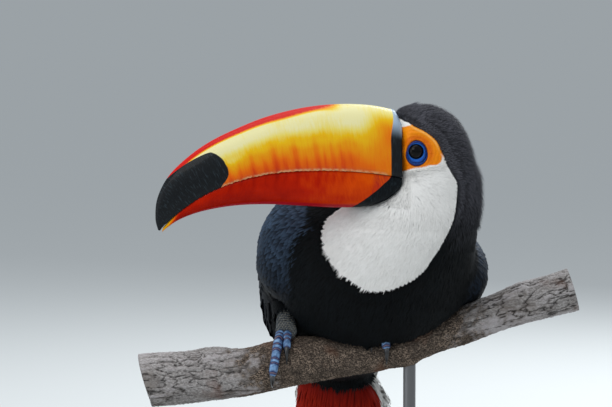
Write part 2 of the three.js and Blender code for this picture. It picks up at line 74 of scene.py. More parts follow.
# %% Lamps and world
def soft_lamp(name, place, size, power, colour):
    """A square area lamp at a place in metres, turned towards the bird's breast."""
    data = bpy.data.lights.new(name, "AREA")
    data.shape = "SQUARE"
    data.size = size
    data.energy = power
    data.color = colour
    lamp = bpy.data.objects.new(name, data)
    lamp.location = place
    away = lamp.location - Vector(BREAST)
    lamp.rotation_euler = away.to_track_quat("Z", "Y").to_euler()
    bpy.context.scene.collection.objects.link(lamp)


BREAST = (0.0, -0.05, 0.33)
LAMPS = [  # name, place and size in metres, watts, colour
    ("key", (-0.8, -1.5, 1.7), 1.2, 13.5, (1.0, 0.985, 0.96)),
    ("fill", (-1.7, -1.0, 0.6), 1.2, 6.0, (0.90, 0.95, 1.0)),
    ("overhead", (-0.1, 0.1, 2.3), 1.8, 20.0, (0.97, 0.985, 1.0)),
    ("rim", (0.95, 1.5, 1.5), 1.2, 32.0, (0.93, 0.97, 1.0)),
]
for lamp_row in LAMPS:
    soft_lamp(*lamp_row)

FLOOR_COLOUR = np.array([0.62, 0.635, 0.63])
ROOM_COLOUR = np.array([0.80, 0.86, 0.92])
ROOM_STRENGTH = 0.66
world = bpy.data.worlds.new("pale_room")
world.use_nodes = True
tree = world.node_tree
room = tree.nodes["Background"]
room.inputs["Color"].default_value = (*ROOM_COLOUR, 1.0)
room.inputs["Strength"].default_value = ROOM_STRENGTH
backdrop = tree.nodes.new("ShaderNodeBackground")
backdrop.inputs["Color"].default_value = (*ROOM_COLOUR * FLOOR_COLOUR, 1.0)
backdrop.inputs["Strength"].default_value = ROOM_STRENGTH
seen = tree.nodes.new("ShaderNodeLightPath")
either = tree.nodes.new("ShaderNodeMixShader")
tree.links.new(seen.outputs["Is Camera Ray"], either.inputs[0])
tree.links.new(room.outputs[0], either.inputs[1])
tree.links.new(backdrop.outputs[0], either.inputs[2])
tree.links.new(either.outputs[0], tree.nodes["World Output"].inputs["Surface"])
bpy.context.scene.world = world
bpy.context.scene.view_settings.view_transform = "Standard"
print("lamps and room")

# %% [markdown]
# ## Helpers for shapes
# Three helpers make most of this bird. `rows_at` turns a short table of sizes into smooth curves.
# `add_mesh` puts arrays of points and faces into a mesh in one go. `lofted` closes rings into a
# solid-looking shell with a point in the middle of each end.
# %% Smooth tables and vectors
def rows_at(rows, t):
    """Columns of a table at places t, 0 to 1. A Catmull-Rom curve: each stretch is the cubic
    that passes through its two rows with the slope of the rows on either side."""
    rows = np.asarray(rows, float)
    place = np.clip(np.asarray(t, float), 0, 1) * (len(rows) - 1)
    i = np.minimum(place.astype(int), len(rows) - 2)
    f = (place - i)[..., None]
    p0, p1 = rows[np.maximum(i - 1, 0)], rows[i]
    p2, p3 = rows[i + 1], rows[np.minimum(i + 2, len(rows) - 1)]
    v1, v2 = (p2 - p0) / 2, (p3 - p1) / 2
    return (2 * p1 - 2 * p2 + v1 + v2) * f**3 + (3 * p2 - 3 * p1 - 2 * v1 - v2) * f**2 + v1 * f + p1


def rows_where(rows, first):
    """Columns of a table at the place where its first column, which rises, has a given value."""
    share = np.interp(first, [row[0] for row in rows], np.linspace(0, 1, len(rows)))
    return rows_at(rows, share)


def unit(vectors):
    """Each vector divided by its length."""
    return vectors / np.maximum(np.linalg.norm(vectors, axis=-1, keepdims=True), 1e-9)


def dot(a, b):
    """Dot products of matching vectors."""
    return (a * b).sum(-1)


def step(low, high, x):
    """0 below low, 1 above high, and the smooth cubic 3x^2 - 2x^3 between them."""
    x = np.clip((np.asarray(x, float) - low) / (high - low), 0, 1)
    return x * x * (3 - 2 * x)


def circle_of(sides):
    """Angles once round, one for each side."""
    return np.linspace(0, 2 * math.pi, sides + 1)[:-1]


def round_end(t, length):
    """A quarter of an ellipse from 0 to 1 over the first length of t, then 1."""
    return np.sqrt(np.clip(1 - np.clip(1 - t / length, 0, 1) ** 2, 0, 1))


def wander(points, size, seed):
    """Smooth noise about -1 to 1: a sum of sine waves of random directions, their length about
    the given size in millimetres."""
    rng = np.random.default_rng(seed)
    total = np.zeros(points.shape[:-1])
    for octave in range(3):
        waves = unit(rng.normal(size=(5, 3))) * (2 * math.pi * 1.9**octave / size)
        phases = rng.uniform(0, 2 * math.pi, 5)
        total += np.sin(points @ waves.T + phases).mean(-1) / 1.6**octave
    return total * 1.1


# %% Meshes from arrays
def add_mesh(name, points, faces, material, values=None, replaces=()):
    """Makes an object of points in millimetres and faces of 4 corners, which rides on the only
    body. values gives each point a number, stored under its name for the material."""
    faces = np.asarray(faces, np.int32)
    mesh = bpy.data.meshes.new(name)
    mesh.vertices.add(len(points))
    mesh.vertices.foreach_set("co", (np.asarray(points, float) * MM).astype(np.float32).ravel())
    mesh.loops.add(faces.size)
    mesh.loops.foreach_set("vertex_index", faces.ravel())
    mesh.polygons.add(len(faces))
    starts = np.arange(len(faces), dtype=np.int32) * faces.shape[1]
    mesh.polygons.foreach_set("loop_start", starts)
    mesh.polygons.foreach_set("use_smooth", np.ones(len(faces), bool))
    mesh.update(calc_edges=True)
    mesh.validate()
    for key, value in (values or {}).items():
        layer = mesh.attributes.new(key, "FLOAT", "POINT")
        layer.data.foreach_set("value", np.asarray(value, np.float32).ravel())
    mesh.materials.append(material)
    piece = bpy.data.objects.new(name, mesh)
    bpy.context.scene.collection.objects.link(piece)
    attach(piece, "root")
    if replaces:
        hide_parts(*replaces)
    return piece


def grid_faces(rows, cols, wrap=False):
    """Quads between a grid's rows and columns. With wrap the last column meets the first."""
    r, c = np.meshgrid(np.arange(rows - 1), np.arange(cols if wrap else cols - 1), indexing="ij")
    a, b = r * cols + c, r * cols + (c + 1) % cols
    return np.stack([a, b, b + cols, a + cols], -1).reshape(-1, 4)


def repeated(faces, count, points):
    """The faces of one sheet of so many points, once for each of several sheets."""
    return (faces[None] + (np.arange(count) * points)[:, None, None]).reshape(-1, 4)


def lofted(rings):
    """Points and faces of a closed shell over an array of rings. Each end closes on the mean of
    its ring, with quads that each join the middle to three points of the ring."""
    rows, around = rings.shape[:2]
    middles = np.stack([rings[0].mean(0), rings[-1].mean(0)])
    points = np.concatenate([rings.reshape(-1, 3), middles])
    k = np.arange(0, around, 2)
    first, last = rows * around, rows * around + 1
    low = np.stack([np.full(len(k), first), (k + 2) % around, (k + 1) % around, k], -1)
    base = (rows - 1) * around
    after, second = base + (k + 1) % around, base + (k + 2) % around
    high = np.stack([np.full(len(k), last), base + k, after, second], -1)
    return points, np.concatenate([grid_faces(rows, around, wrap=True), low, high])


def with_ends(values):
    """A value for every ring point, and for the two end middles that the loft adds."""
    return np.concatenate([values.ravel(), [values[0].mean(), values[-1].mean()]])


def thickened(piece, thick):
    """Gives a sheet a wall in millimetres, inwards from its outer face."""
    solid = piece.modifiers.new("thickness", "SOLIDIFY")
    solid.thickness = thick * MM
    solid.offset = -1


# %% [markdown]
# ## The bird's own measures
# These are the sizes that the solids were made from: the perch point, the head's frame and the
# rings about the spine. The spine runs from the tail's root, t = 0, to the crown, t = 1. A place
# on the body is given by t and by its angle round the spine, 0 at the belly and positive to the
# bird's left, and a place on the head by how far it is ahead, to the left and up.
# %% Head frame and spine
PERCH = np.array([0.0, -30.0, 212.0])
HEAD_YAW = math.radians(12)
HEAD_ORIGIN = PERCH + [22, -66, 170]
FORWARD = np.array([-math.cos(HEAD_YAW), -math.sin(HEAD_YAW), 0.0])
HEAD_LEFT = np.array([math.sin(HEAD_YAW), -math.cos(HEAD_YAW), 0.0])
UP = np.array([0.0, 0.0, 1.0])
EYE = {"ahead": -10.0, "up": 2.0, "radius": 7.6, "out": 19.6}
SIDES = ((1, "left"), (-1, "right"))

BODY_ROWS = [  # centre x, y, z, then the radii to the bird's right, left, front and back
    (-20, 122, -70, 36, 36, 12, 27),
    (-17, 98, -18, 41, 42, 26, 24),
    (-12, 66, 26, 68, 70, 52, 43),
    (2, 33, 60, 83, 84, 69, 56),
    (14, -2, 90, 84, 80, 68, 60),
    (32, -36, 119, 56, 62, 51, 50),
    (50, -58, 149, 39, 45, 33, 42),
    (53, -61, 180, 25, 36, 23, 34),
]
BODY_YAW = math.radians(14)
BODY_ROLL = math.radians(2)
WING_ROWS = [  # t, middle angle and half span in degrees, thickness
    (0.01, 146, 14, 2.2),
    (0.1, 137, 34, 4),
    (0.23, 126, 45, 8),
    (0.36, 117, 48, 11),
    (0.48, 108, 45, 13),
    (0.57, 100, 35, 12.5),
    (0.63, 94, 19, 8),
]
SHOULDER_T = 0.645  # where the wing ends towards the head


def turn(vectors, axes, angle):
    """Vectors turned by an angle about unit axes at right angles to them: v cos + (axis x v) sin."""
    return vectors * np.cos(angle) + np.cross(axes, vectors) * np.sin(angle)


def spine_frame(t):
    """The spine's point, its direction to the head, and the section's front and left axes."""
    centre = PERCH + rows_at(BODY_ROWS, t)[..., :3]
    ahead = rows_at(BODY_ROWS, np.minimum(t + 0.01, 1))[..., :3]
    up = unit(ahead - rows_at(BODY_ROWS, np.maximum(t - 0.01, 0))[..., :3])
    facing = np.array([math.sin(BODY_YAW), -math.cos(BODY_YAW), 0.0])
    front = unit(turn(unit(facing - up * dot(up, facing)[..., None]), up, -BODY_ROLL))
    return centre, up, front, np.cross(up, front)


def head_point(ahead, left, up):
    """A point from its place ahead of the bill's base, to the bird's left and up."""
    shares = [np.asarray(s, float)[..., None] for s in (ahead, left, up)]
    return HEAD_ORIGIN + shares[0] * FORWARD + shares[1] * HEAD_LEFT + shares[2] * UP


def in_head(points):
    """How far points are ahead of the bill's base, to the bird's left, and up."""
    away = points - HEAD_ORIGIN
    return away @ FORWARD, away @ HEAD_LEFT, away[..., 2]


SPINE_T = np.linspace(0, 1, 161)
SPINE = spine_frame(SPINE_T)


def round_spine(points):
    """The nearest place t on the spine, and the angle round it: the arc tangent of how far a
    point lies to the left over how far it lies to the front."""
    squared = (points**2).sum(1)[:, None] - 2 * points @ SPINE[0].T + (SPINE[0] ** 2).sum(1)
    nearest = squared.argmin(1)
    away = points - SPINE[0][nearest]
    angle = np.arctan2(dot(away, SPINE[3][nearest]), dot(away, SPINE[2][nearest]))
    return SPINE_T[nearest], angle


def body_point(t, angle, raised=0.0):
    """A point on the rings about the spine: an ellipse quarter by quarter, raised outwards."""
    centre, _, front, left = spine_frame(t)
    radii = rows_at(BODY_ROWS, t)[..., 3:]
    across = np.where(np.sin(angle) > 0, radii[..., 1], radii[..., 0]) + raised
    through = np.where(np.cos(angle) > 0, radii[..., 2], radii[..., 3]) + raised
    return centre + front * (through * np.cos(angle))[..., None] + left * (across * np.sin(angle))[..., None]


TAIL_ROOT_STEP = 16  # of the spine's 160 steps
tail_root = SPINE[0][TAIL_ROOT_STEP]
TAIL_DOWN = unit(np.array([-0.03, 0.3, -0.95]))
TAIL_YAW = math.radians(-14)
tail_facing = np.array([math.sin(TAIL_YAW), -math.cos(TAIL_YAW), 0.0])
TAIL_FRONT = unit(tail_facing - TAIL_DOWN * (TAIL_DOWN @ tail_facing))
TAIL_LEFT = np.cross(TAIL_FRONT, TAIL_DOWN)
print("head at", HEAD_ORIGIN.round(1), "tail root at", tail_root.round(1))

# %% [markdown]
# ## The skin
# Under the feathers a bird is one smooth surface. The solids of the plumage are joined into one
# mesh, grown a hair so that they overlap, and remade as one even grid by a voxel remesh. The
# points are then relaxed towards their neighbours, which melts the facets, and drawn inwards by
# the depth of the coat: least on the cheeks, most on the breast and belly.
# %% Join and remesh the plumage
FLESH = [
    "head", "bib", "neck", "trunk", "wing_left", "wing_right", "undertail_coverts",
    "uppertail_coverts",
]
GROWN = 0.45
VOXEL = 1.8
MELT_ROUNDS = 45


def mesh_arrays(mesh):
    """The points, in millimetres, and the triangles of a mesh."""
    points = np.empty(len(mesh.vertices) * 3, np.float32)
    mesh.vertices.foreach_get("co", points)
    mesh.calc_loop_triangles()
    triangles = np.empty(len(mesh.loop_triangles) * 3, np.int32)
    mesh.loop_triangles.foreach_get("vertices", triangles)
    return points.reshape(-1, 3).astype(float) / MM, triangles.reshape(-1, 3)


def merged(points, triangles):
    """The same surface with each set of equal corners made one point."""
    _, first, owner = np.unique(points.round(3), axis=0, return_index=True, return_inverse=True)
    return points[first], owner.ravel()[triangles]


def point_normals(points, faces):
    """Unit normals: the mean of the face normals round each point, larger faces counting more."""
    corners = points[faces]
    cross = np.cross(corners[:, 1] - corners[:, 0], corners[:, 2] - corners[:, 0])
    total = np.zeros_like(points)
    for k in range(faces.shape[1]):
        for axis in range(3):
            total[:, axis] += np.bincount(faces[:, k], cross[:, axis], len(points))
    return unit(total)


parts, offset = [], 0
for node in FLESH:
    points, triangles = merged(*mesh_arrays(NODES[node].data))
    parts.append((points + point_normals(points, triangles) * GROWN, triangles + offset))
    offset += len(points)
joined = bpy.data.meshes.new("joined")
joined.from_pydata((np.concatenate([p for p, _ in parts]) * MM).tolist(), [],
                   np.concatenate([t for _, t in parts]).tolist())
blank = bpy.data.objects.new("joined", joined)
bpy.context.scene.collection.objects.link(blank)
remesh = blank.modifiers.new("voxels", "REMESH")
remesh.mode = "VOXEL"
remesh.voxel_size = VOXEL * MM
evaluated = blank.evaluated_get(bpy.context.evaluated_depsgraph_get())
rough = bpy.data.meshes.new_from_object(evaluated)
skin_points, _ = mesh_arrays(rough)
skin_faces = np.empty(len(rough.loops), np.int32)
rough.loops.foreach_get("vertex_index", skin_faces)
skin_faces = skin_faces.reshape(-1, 4)
bpy.data.objects.remove(blank)
print("skin points", len(skin_points), "faces", len(skin_faces))

# %% Melt the facets
def edges_of(faces):
    """Each pair of neighbouring corners once."""
    pairs = np.concatenate([faces[:, [k, (k + 1) % faces.shape[1]]] for k in range(faces.shape[1])])
    return np.unique(np.sort(pairs, 1), axis=0)


def relaxed(values, edges, rounds, share=0.5):
    """Each value moves a share of the way to the mean of its neighbours, round after round."""
    count = len(values)
    mates = np.bincount(edges.ravel(), minlength=count)[:, None]
    share = np.broadcast_to(np.asarray(share, float), (count,))[:, None]
    for _ in range(rounds):
        total = np.stack([
            np.bincount(edges[:, 0], values[edges[:, 1], k], count)
            + np.bincount(edges[:, 1], values[edges[:, 0], k], count)
            for k in range(values.shape[1])
        ], 1)
        values = values + share * (total / mates - values)
    return values


skin_edges = edges_of(skin_faces)
ahead, aside, above = in_head(skin_points)
from_eye = np.hypot(ahead - EYE["ahead"], above - EYE["up"])
face_share = 0.08 + 0.42 * np.maximum(step(9, 20, from_eye), step(25, 10, np.abs(aside)))
melted = relaxed(skin_points, skin_edges, MELT_ROUNDS, face_share)
melted_normals = point_normals(melted, skin_faces)
print("moved by up to", np.linalg.norm(melted - skin_points, axis=1).max().round(2), "mm")

# %% [markdown]
# ## Markings and the depth of the coat
# The same few curves say where each colour lies for the skin, for every feather and for the bare
# face. The bib is a band about the front of the spine. Its right edge winds round under the bill,
# because the neck is twisted as the head is turned. The bare face is a patch round the eye, given
# by its reach in each direction.
# %% Where the colours lie
BIB_ROWS = [  # right and left edge in degrees, from the bib's low end up, closer together below
    (-32, -20),
    (-48, -11),
    (-63, -2),
    (-72, 8),
    (-74, 19),
    (-80, 26.5),
    (-118, 33),
    (-158, 35),
    (-176, 27),
    (-196, 8),
]
BIB_LOW, BIB_HIGH = 0.627, 0.95
CHEEK_HEIGHTS = [-52, -43, -34, -24]  # the far cheek's lower edge: heights and places ahead
CHEEK_BACK = [6, -12, -27, -36]
FACE_REACH = [  # from the eye, every 15 degrees, from the bill's side over the top to the back
    11, 11.4, 12.8, 15.8, 28, 22.6, 17.6, 16, 15.4, 15.4, 16, 17,
    18.2, 21.5, 20.5, 16, 14.6, 13.8, 13.6, 15, 18.5, 15.5, 12.8, 11.4, 11,
]
FACE_NARROWEST, FACE_WIDEST = 8, 36  # how far to the side the bare face can lie


def eye_polar(points):
    """Distance from the eye's middle, and angle: 0 towards the bill, 90 degrees up."""
    ahead, _, above = in_head(points)
    u, v = ahead - EYE["ahead"], above - EYE["up"]
    return np.hypot(u, v), np.arctan2(v, u)


def face_reach(angle):
    """How far the bare skin reaches from the eye in a direction: a closed smooth curve."""
    return rows_at(np.array(FACE_REACH)[:, None], (angle % (2 * math.pi)) / (2 * math.pi))[..., 0]


def in_face(points, margin=0.0):
    """True on the bare skin round either eye, its edge moved out by a margin."""
    distance, angle = eye_polar(points)
    ahead, aside, _ = in_head(points)
    beside = (np.abs(aside) > FACE_NARROWEST) & (np.abs(aside) < FACE_WIDEST)
    return (distance < face_reach(angle) + margin) & beside & (ahead < 14)


def in_bib(points):
    """True on the white cheeks, throat and breast: between the bib's two edges about the spine,
    and on the head below a line that falls from behind the eye to the bill's corner and the nape."""
    t, angle = round_spine(points)
    share = (t - BIB_LOW) / (BIB_HIGH - BIB_LOW)
    right, left = np.radians(rows_at(BIB_ROWS, np.sqrt(share.clip(0, 1)))).T
    middle, half = (right + left) / 2, (left - right) / 2
    off = np.abs((angle - middle + math.pi) % (2 * math.pi) - math.pi)
    ahead, aside, above = in_head(points)
    ceiling = np.minimum(-16 - 0.31 * ahead, -6.4 + 0.25 * (ahead + 31))
    ceiling = np.minimum(ceiling, -8 + 1.7 * (ahead + 33.5))
    on_front = (share > 0) & (off < half)
    behind = np.interp(above, CHEEK_HEIGHTS, CHEEK_BACK)
    far_cheek = (aside > -33) & (aside < -3) & (above > CHEEK_HEIGHTS[0])
    far_cheek &= (ahead > behind) & (ahead < 12)
    return (on_front | far_cheek) & (above < ceiling)


# %% The wing and the vent
VENT = -7  # how far down the tail's line the black plumage ends


def in_wing(points, margin=0.0):
    """+1 on the left folded wing, -1 on the right one, 0 elsewhere, by its span at each t."""
    t, angle = round_spine(points)
    rows = rows_where(WING_ROWS, t)
    off = np.degrees(np.abs(angle)) - rows[..., 1]
    inside = (np.abs(off) < rows[..., 2] + margin) & (t < SHOULDER_T)
    return np.where(inside, np.sign(angle), 0)


def in_undertail(points):
    """True on the red feathers in front of the tail, False on the white ones behind it."""
    away = points - tail_root
    return (away @ TAIL_DOWN > VENT) & (away @ TAIL_FRONT > 0)


print("points of the white bib", in_bib(melted).sum(), "of a wing", (in_wing(melted) != 0).sum())

# %% Sink the skin by the coat's depth
DEPTHS = {"body": 4.2, "neck": 2.9, "head": 1.9, "cheek": 1.1, "wing": 3.0, "bare": 2.8}
BARE_SINK = 0.6
BLUR = 1.7
skin_t, _ = round_spine(melted)
ahead, aside, above = in_head(melted)
from_eye, eye_angle = eye_polar(melted)
depth = DEPTHS["body"] + (DEPTHS["neck"] - DEPTHS["body"]) * step(0.62, 0.76, skin_t)
on_head = step(-62, -38, ahead) * step(-45, -25, above)
depth += (DEPTHS["head"] - depth) * on_head
near_face = step(14, 4, from_eye - face_reach(eye_angle)) * (np.abs(aside) > FACE_NARROWEST)
near_bill = step(-16, -5, ahead) * (above > -44)
depth += (DEPTHS["cheek"] - depth) * np.maximum(near_face, near_bill) * on_head
depth = np.where(in_wing(melted) != 0, DEPTHS["wing"], depth)
by_bill = (ahead > -9) & (from_eye < 21) & (np.abs(aside) > FACE_NARROWEST)
depth = np.where(in_face(melted, 1.0) | by_bill, DEPTHS["bare"], depth)
depth = relaxed(depth[:, None], skin_edges, 4)
bare_surface = melted - melted_normals * BARE_SINK
skin_points = melted - melted_normals * depth


def height_field(side, ahead, above):
    """How far to the side the bare surface lies at places of the head seen from the side: a mean
    in which each skin point weighs e to the minus of its squared distance over BLUR squared."""
    skin_ahead, skin_aside, skin_above = in_head(bare_surface)
    near = np.hypot(skin_ahead - EYE["ahead"], skin_above - EYE["up"]) < 30
    near &= (side * skin_aside > FACE_NARROWEST) & (side * skin_aside < FACE_WIDEST)
    table = np.stack([skin_ahead[near], skin_above[near]], 1)
    places = np.stack([ahead.ravel(), above.ravel()], 1)
    gap = (places**2).sum(1)[:, None] + (table**2).sum(1) - 2 * places @ table.T
    weight = np.exp(-gap / BLUR**2)
    return ((weight @ (side * skin_aside[near])) / weight.sum(1)).reshape(ahead.shape)


# Behind the eyeball the skin is pressed in, so that it never comes through the lids.
behind_eye = 17.5 + 8 * step(9.5, 14, from_eye)
pressed = (np.abs(in_head(skin_points)[1]) - behind_eye).clip(0) * step(18, 14, from_eye)
pressed *= np.sign(aside) * (np.abs(aside) < FACE_WIDEST)
skin_points = skin_points - HEAD_LEFT * pressed[:, None]
skin_normals = unit(relaxed(point_normals(skin_points, skin_faces), skin_edges, 3))
print("coat depth from", depth.min().round(2), "to", depth.max().round(2), "mm")

# %% [markdown]
# ## A map of the skin, and the lie of the feathers
# Every feather has to hug the skin, so it must be quick to ask which part of the skin is nearest
# to any point. A grid of small cubes remembers its nearest skin point, spread from cube to cube.
# The lie of the coat is a field of directions on the skin: back from the bill over the head,
# down the neck and body to the vent, and down the tail, relaxed until it flows.
# %% The nearest skin point, from a grid of cubes
CUBE = 2.6
SPREAD = 8


def spread_owners(points):
    """A grid of cubes, each with the number of the skin point nearest to its middle. Cubes that
    hold a point start, and each round passes owners to the six neighbours where they are nearer."""
    low = points.min(0) - CUBE * (SPREAD + 2)
    shape = np.ceil((points.max(0) + CUBE * (SPREAD + 2) - low) / CUBE).astype(int)
    owner = np.full(shape, -1, np.int32)
    cube = ((points - low) / CUBE).astype(int)
    owner[tuple(cube.T)] = np.arange(len(points))
    away = np.full(shape, np.inf)
    middles = low + (cube + 0.5) * CUBE
    away[tuple(cube.T)] = dot(middles - points, middles - points)
    for _ in range(SPREAD):
        for axis in range(3):
            for way in (1, -1):
                moved = np.roll(owner, way, axis)
                place = np.nonzero(moved >= 0)
                found = moved[place]
                gap = low + (np.stack(place, 1) + 0.5) * CUBE - points[found]
                nearer = dot(gap, gap) < away[place]
                chosen = tuple(p[nearer] for p in place)
                owner[chosen] = found[nearer]
                away[chosen] = dot(gap, gap)[nearer]
    return low, owner


map_low, map_owner = spread_owners(skin_points)


def nearest_skin(points):
    """The number of the skin point nearest to each point."""
    cube = ((points - map_low) / CUBE).astype(int)
    cube = np.clip(cube, 0, np.array(map_owner.shape) - 1)
    return np.maximum(map_owner[tuple(cube.T)], 0)


print("map of", map_owner.shape, "cubes")

# %% The lie of the coat
BILL_MIDDLE = head_point(26, 0, -3)
spine_up = spine_frame(skin_t)[1]
head_share = step(0.74, 0.9, skin_t) * step(-75, -45, ahead)
tail_share = step(0.2, 0.09, skin_t)
guide = unit(skin_points - BILL_MIDDLE) * head_share[:, None] - spine_up * (1 - head_share)[:, None]
guide += (TAIL_DOWN - guide) * tail_share[:, None]


def flattened(vectors, normals):
    """Vectors laid into the surface: less their part along the normals, and made unit length."""
    return unit(vectors - normals * dot(vectors, normals)[..., None])


skin_lie = flattened(guide, skin_normals)
for _ in range(6):
    skin_lie = flattened(relaxed(skin_lie, skin_edges, 6), skin_normals)
print("lie at the crown", skin_lie[nearest_skin(head_point(-20, 0, 38)[None])].round(2))

# %% [markdown]
# ## Materials of the plumage
# Feathers are soft and fibrous. Seen close, each vane is a comb of barbs, so a group draws fine
# lines along the feather from two numbers stored on every point: `across`, from -1 to 1, and
# `along`, from the root to the tip. A third number, `tone`, differs from feather to feather. The
# group puts out a shade and a height, and each plumage colour uses them with its own values.
# %% Node helpers
def new_material(name):
    """An empty node material and its tree."""
    made = bpy.data.materials.new(name)
    made.use_nodes = True
    made.node_tree.nodes.clear()
    return made, made.node_tree


def add(tree, kind, values=None, **settings):
    """Adds a node of a kind, with its settings and the values of its inputs."""
    node = tree.nodes.new(kind)
    for key, value in settings.items():
        setattr(node, key, value)
    for key, value in (values or {}).items():
        node.inputs[key].default_value = value
    return node


def calculate(tree, operation, a, b=None, c=None):
    """A Math node. Each of a, b and c is a number or an output socket."""
    node = add(tree, "ShaderNodeMath", operation=operation)
    for entry, value in enumerate((a, b, c)):
        if isinstance(value, bpy.types.NodeSocket):
            tree.links.new(value, node.inputs[entry])
        elif value is not None:
            node.inputs[entry].default_value = value
    return node.outputs[0]


# %% Masks, colours and noise
def ramp_value(tree, value, low, high, to_low=0.0, to_high=1.0):
    """A Map Range node: smooth from to_low below low to to_high above high."""
    ends = {"From Min": low, "From Max": high, "To Min": to_low, "To Max": to_high}
    node = add(tree, "ShaderNodeMapRange", ends, interpolation_type="SMOOTHSTEP")
    tree.links.new(value, node.inputs["Value"])
    return node.outputs["Result"]


def blended(tree, share, a, b):
    """A colour mix. share, a and b are numbers, colours or output sockets."""
    node = add(tree, "ShaderNodeMix", data_type="RGBA", blend_type="MIX", clamp_factor=True)
    for entry, value in ((0, share), (6, a), (7, b)):
        if isinstance(value, bpy.types.NodeSocket):
            tree.links.new(value, node.inputs[entry])
        elif entry:
            node.inputs[entry].default_value = (*value, 1.0)
        else:
            node.inputs[entry].default_value = value
    return node.outputs[2]


def between(tree, value, low, high, dark, light):
    """A colour that goes from dark, where a value is below low, to light, where it is above high."""
    return blended(tree, ramp_value(tree, value, low, high), dark, light)


def layered(tree, colour, *layers):
    """A colour with others laid over it in turn. Each layer is a share and a colour."""
    for share, over in layers:
        colour = blended(tree, share, colour, over)
    return colour


def stored(tree, name, times=None):
    """The output of a number stored on the piece's points, times another number if one is given."""
    value = add(tree, "ShaderNodeAttribute", attribute_name=name).outputs["Fac"]
    return value if times is None else calculate(tree, "MULTIPLY", value, times)


def noise(tree, scale, detail=3.0, stretch=(1, 1, 1), rough=0.55):
    """Noise over object coordinates, in features per metre, stretched along each axis."""
    place = add(tree, "ShaderNodeTexCoord")
    mapping = add(tree, "ShaderNodeMapping", {"Scale": stretch})
    made = add(tree, "ShaderNodeTexNoise", {"Scale": scale, "Detail": detail, "Roughness": rough})
    tree.links.new(place.outputs["Object"], mapping.inputs["Vector"])
    tree.links.new(mapping.outputs["Vector"], made.inputs["Vector"])
    return made.outputs["Fac"]


# %% The shader and its bumps
def principled(tree, colour, roughness, specular=0.5, bump=None, **inputs):
    """The material's shader and its output. colour and roughness are sockets or values, and bump
    is a height socket, its strength and its depth in millimetres."""
    shader = add(tree, "ShaderNodeBsdfPrincipled", {"Specular IOR Level": specular, **inputs})
    for entry, value in (("Base Color", colour), ("Roughness", roughness)):
        if isinstance(value, bpy.types.NodeSocket):
            tree.links.new(value, shader.inputs[entry])
        elif entry == "Roughness":
            shader.inputs[entry].default_value = value
        else:
            shader.inputs[entry].default_value = (*value, 1.0)
    if bump:
        height, strength, depth = bump
        node = add(tree, "ShaderNodeBump", {"Strength": strength, "Distance": depth * MM})
        tree.links.new(height, node.inputs["Height"])
        tree.links.new(node.outputs[0], shader.inputs["Normal"])
    output = add(tree, "ShaderNodeOutputMaterial")
    tree.links.new(shader.outputs[0], output.inputs[0])


# %% The barbs of a feather
barbs = bpy.data.node_groups.new("feather_barbs", "ShaderNodeTree")
for name, default in (("Lines", 9.0), ("Slant", 2.0), ("Contrast", 0.4), ("Root", 0.72)):
    socket = barbs.interface.new_socket(name, in_out="INPUT", socket_type="NodeSocketFloat")
    socket.default_value = default
barbs.interface.new_socket("Shade", in_out="OUTPUT", socket_type="NodeSocketFloat")
barbs.interface.new_socket("Height", in_out="OUTPUT", socket_type="NodeSocketFloat")
entry = add(barbs, "NodeGroupInput")
leave = add(barbs, "NodeGroupOutput")
away = calculate(barbs, "ABSOLUTE", stored(barbs, "across"))
slanted = calculate(barbs, "MULTIPLY", away, entry.outputs["Slant"])
run = calculate(barbs, "SUBTRACT", stored(barbs, "along", 6.0), slanted)
comb = calculate(barbs, "SINE", calculate(barbs, "MULTIPLY", run, entry.outputs["Lines"]))
ragged = calculate(barbs, "MULTIPLY", comb, noise(barbs, 900.0, 2.0))
height = calculate(barbs, "MULTIPLY_ADD", ragged, 0.5, 0.5)
dark = calculate(barbs, "MULTIPLY", calculate(barbs, "SUBTRACT", 1.0, height), entry.outputs["Contrast"])
root_shade = add(barbs, "ShaderNodeMapRange", {"From Max": 0.55}, interpolation_type="SMOOTHSTEP")
barbs.links.new(stored(barbs, "along"), root_shade.inputs["Value"])
barbs.links.new(entry.outputs["Root"], root_shade.inputs["To Min"])
toned = calculate(barbs, "MULTIPLY_ADD", stored(barbs, "tone"), 0.3, 0.85)
lit = calculate(barbs, "MULTIPLY", calculate(barbs, "SUBTRACT", 1.0, dark), toned)
shade = calculate(barbs, "MULTIPLY", lit, root_shade.outputs["Result"])
barbs.links.new(shade, leave.inputs["Shade"])
barbs.links.new(height, leave.inputs["Height"])


def plumage_material(name, colour, edge, roughness, contrast, sheen, specular, deep=0.35, root=0.72,
                     sheen_colours=None):
    """A feather colour: the barbs' shade mixes a deeper colour to the full one, and the tips
    take a little of the edge colour. sheen is the sheen weight of the fibres, and root is how
    bright a feather is at its root. The last argument is a lighter colour and edge, a painted
    sheen, for where the stored sheen share on the points is 1."""
    made, tree = new_material(name)
    group = add(tree, "ShaderNodeGroup", {"Contrast": contrast, "Root": root}, node_tree=barbs)
    shadow = tuple(c * deep for c in colour)
    if sheen_colours:
        painted_sheen = stored(tree, "painted_sheen")
        shadow = blended(tree, painted_sheen, shadow, tuple(c * deep for c in sheen_colours[0]))
        colour, edge = (blended(tree, painted_sheen, a, b) for a, b in zip((colour, edge), sheen_colours))
    base = blended(tree, group.outputs["Shade"], shadow, colour)
    patchy = ramp_value(tree, noise(tree, 60.0, 3.0), 0.3, 0.75, 0.45, 1.0)
    tips = calculate(tree, "MULTIPLY", ramp_value(tree, stored(tree, "along"), 0.45, 1.0), patchy)
    principled(tree, blended(tree, tips, base, edge), roughness, specular,
               (group.outputs["Height"], 0.35, 0.15), **{"Sheen Weight": sheen, "Sheen Roughness": 0.4})
    return made
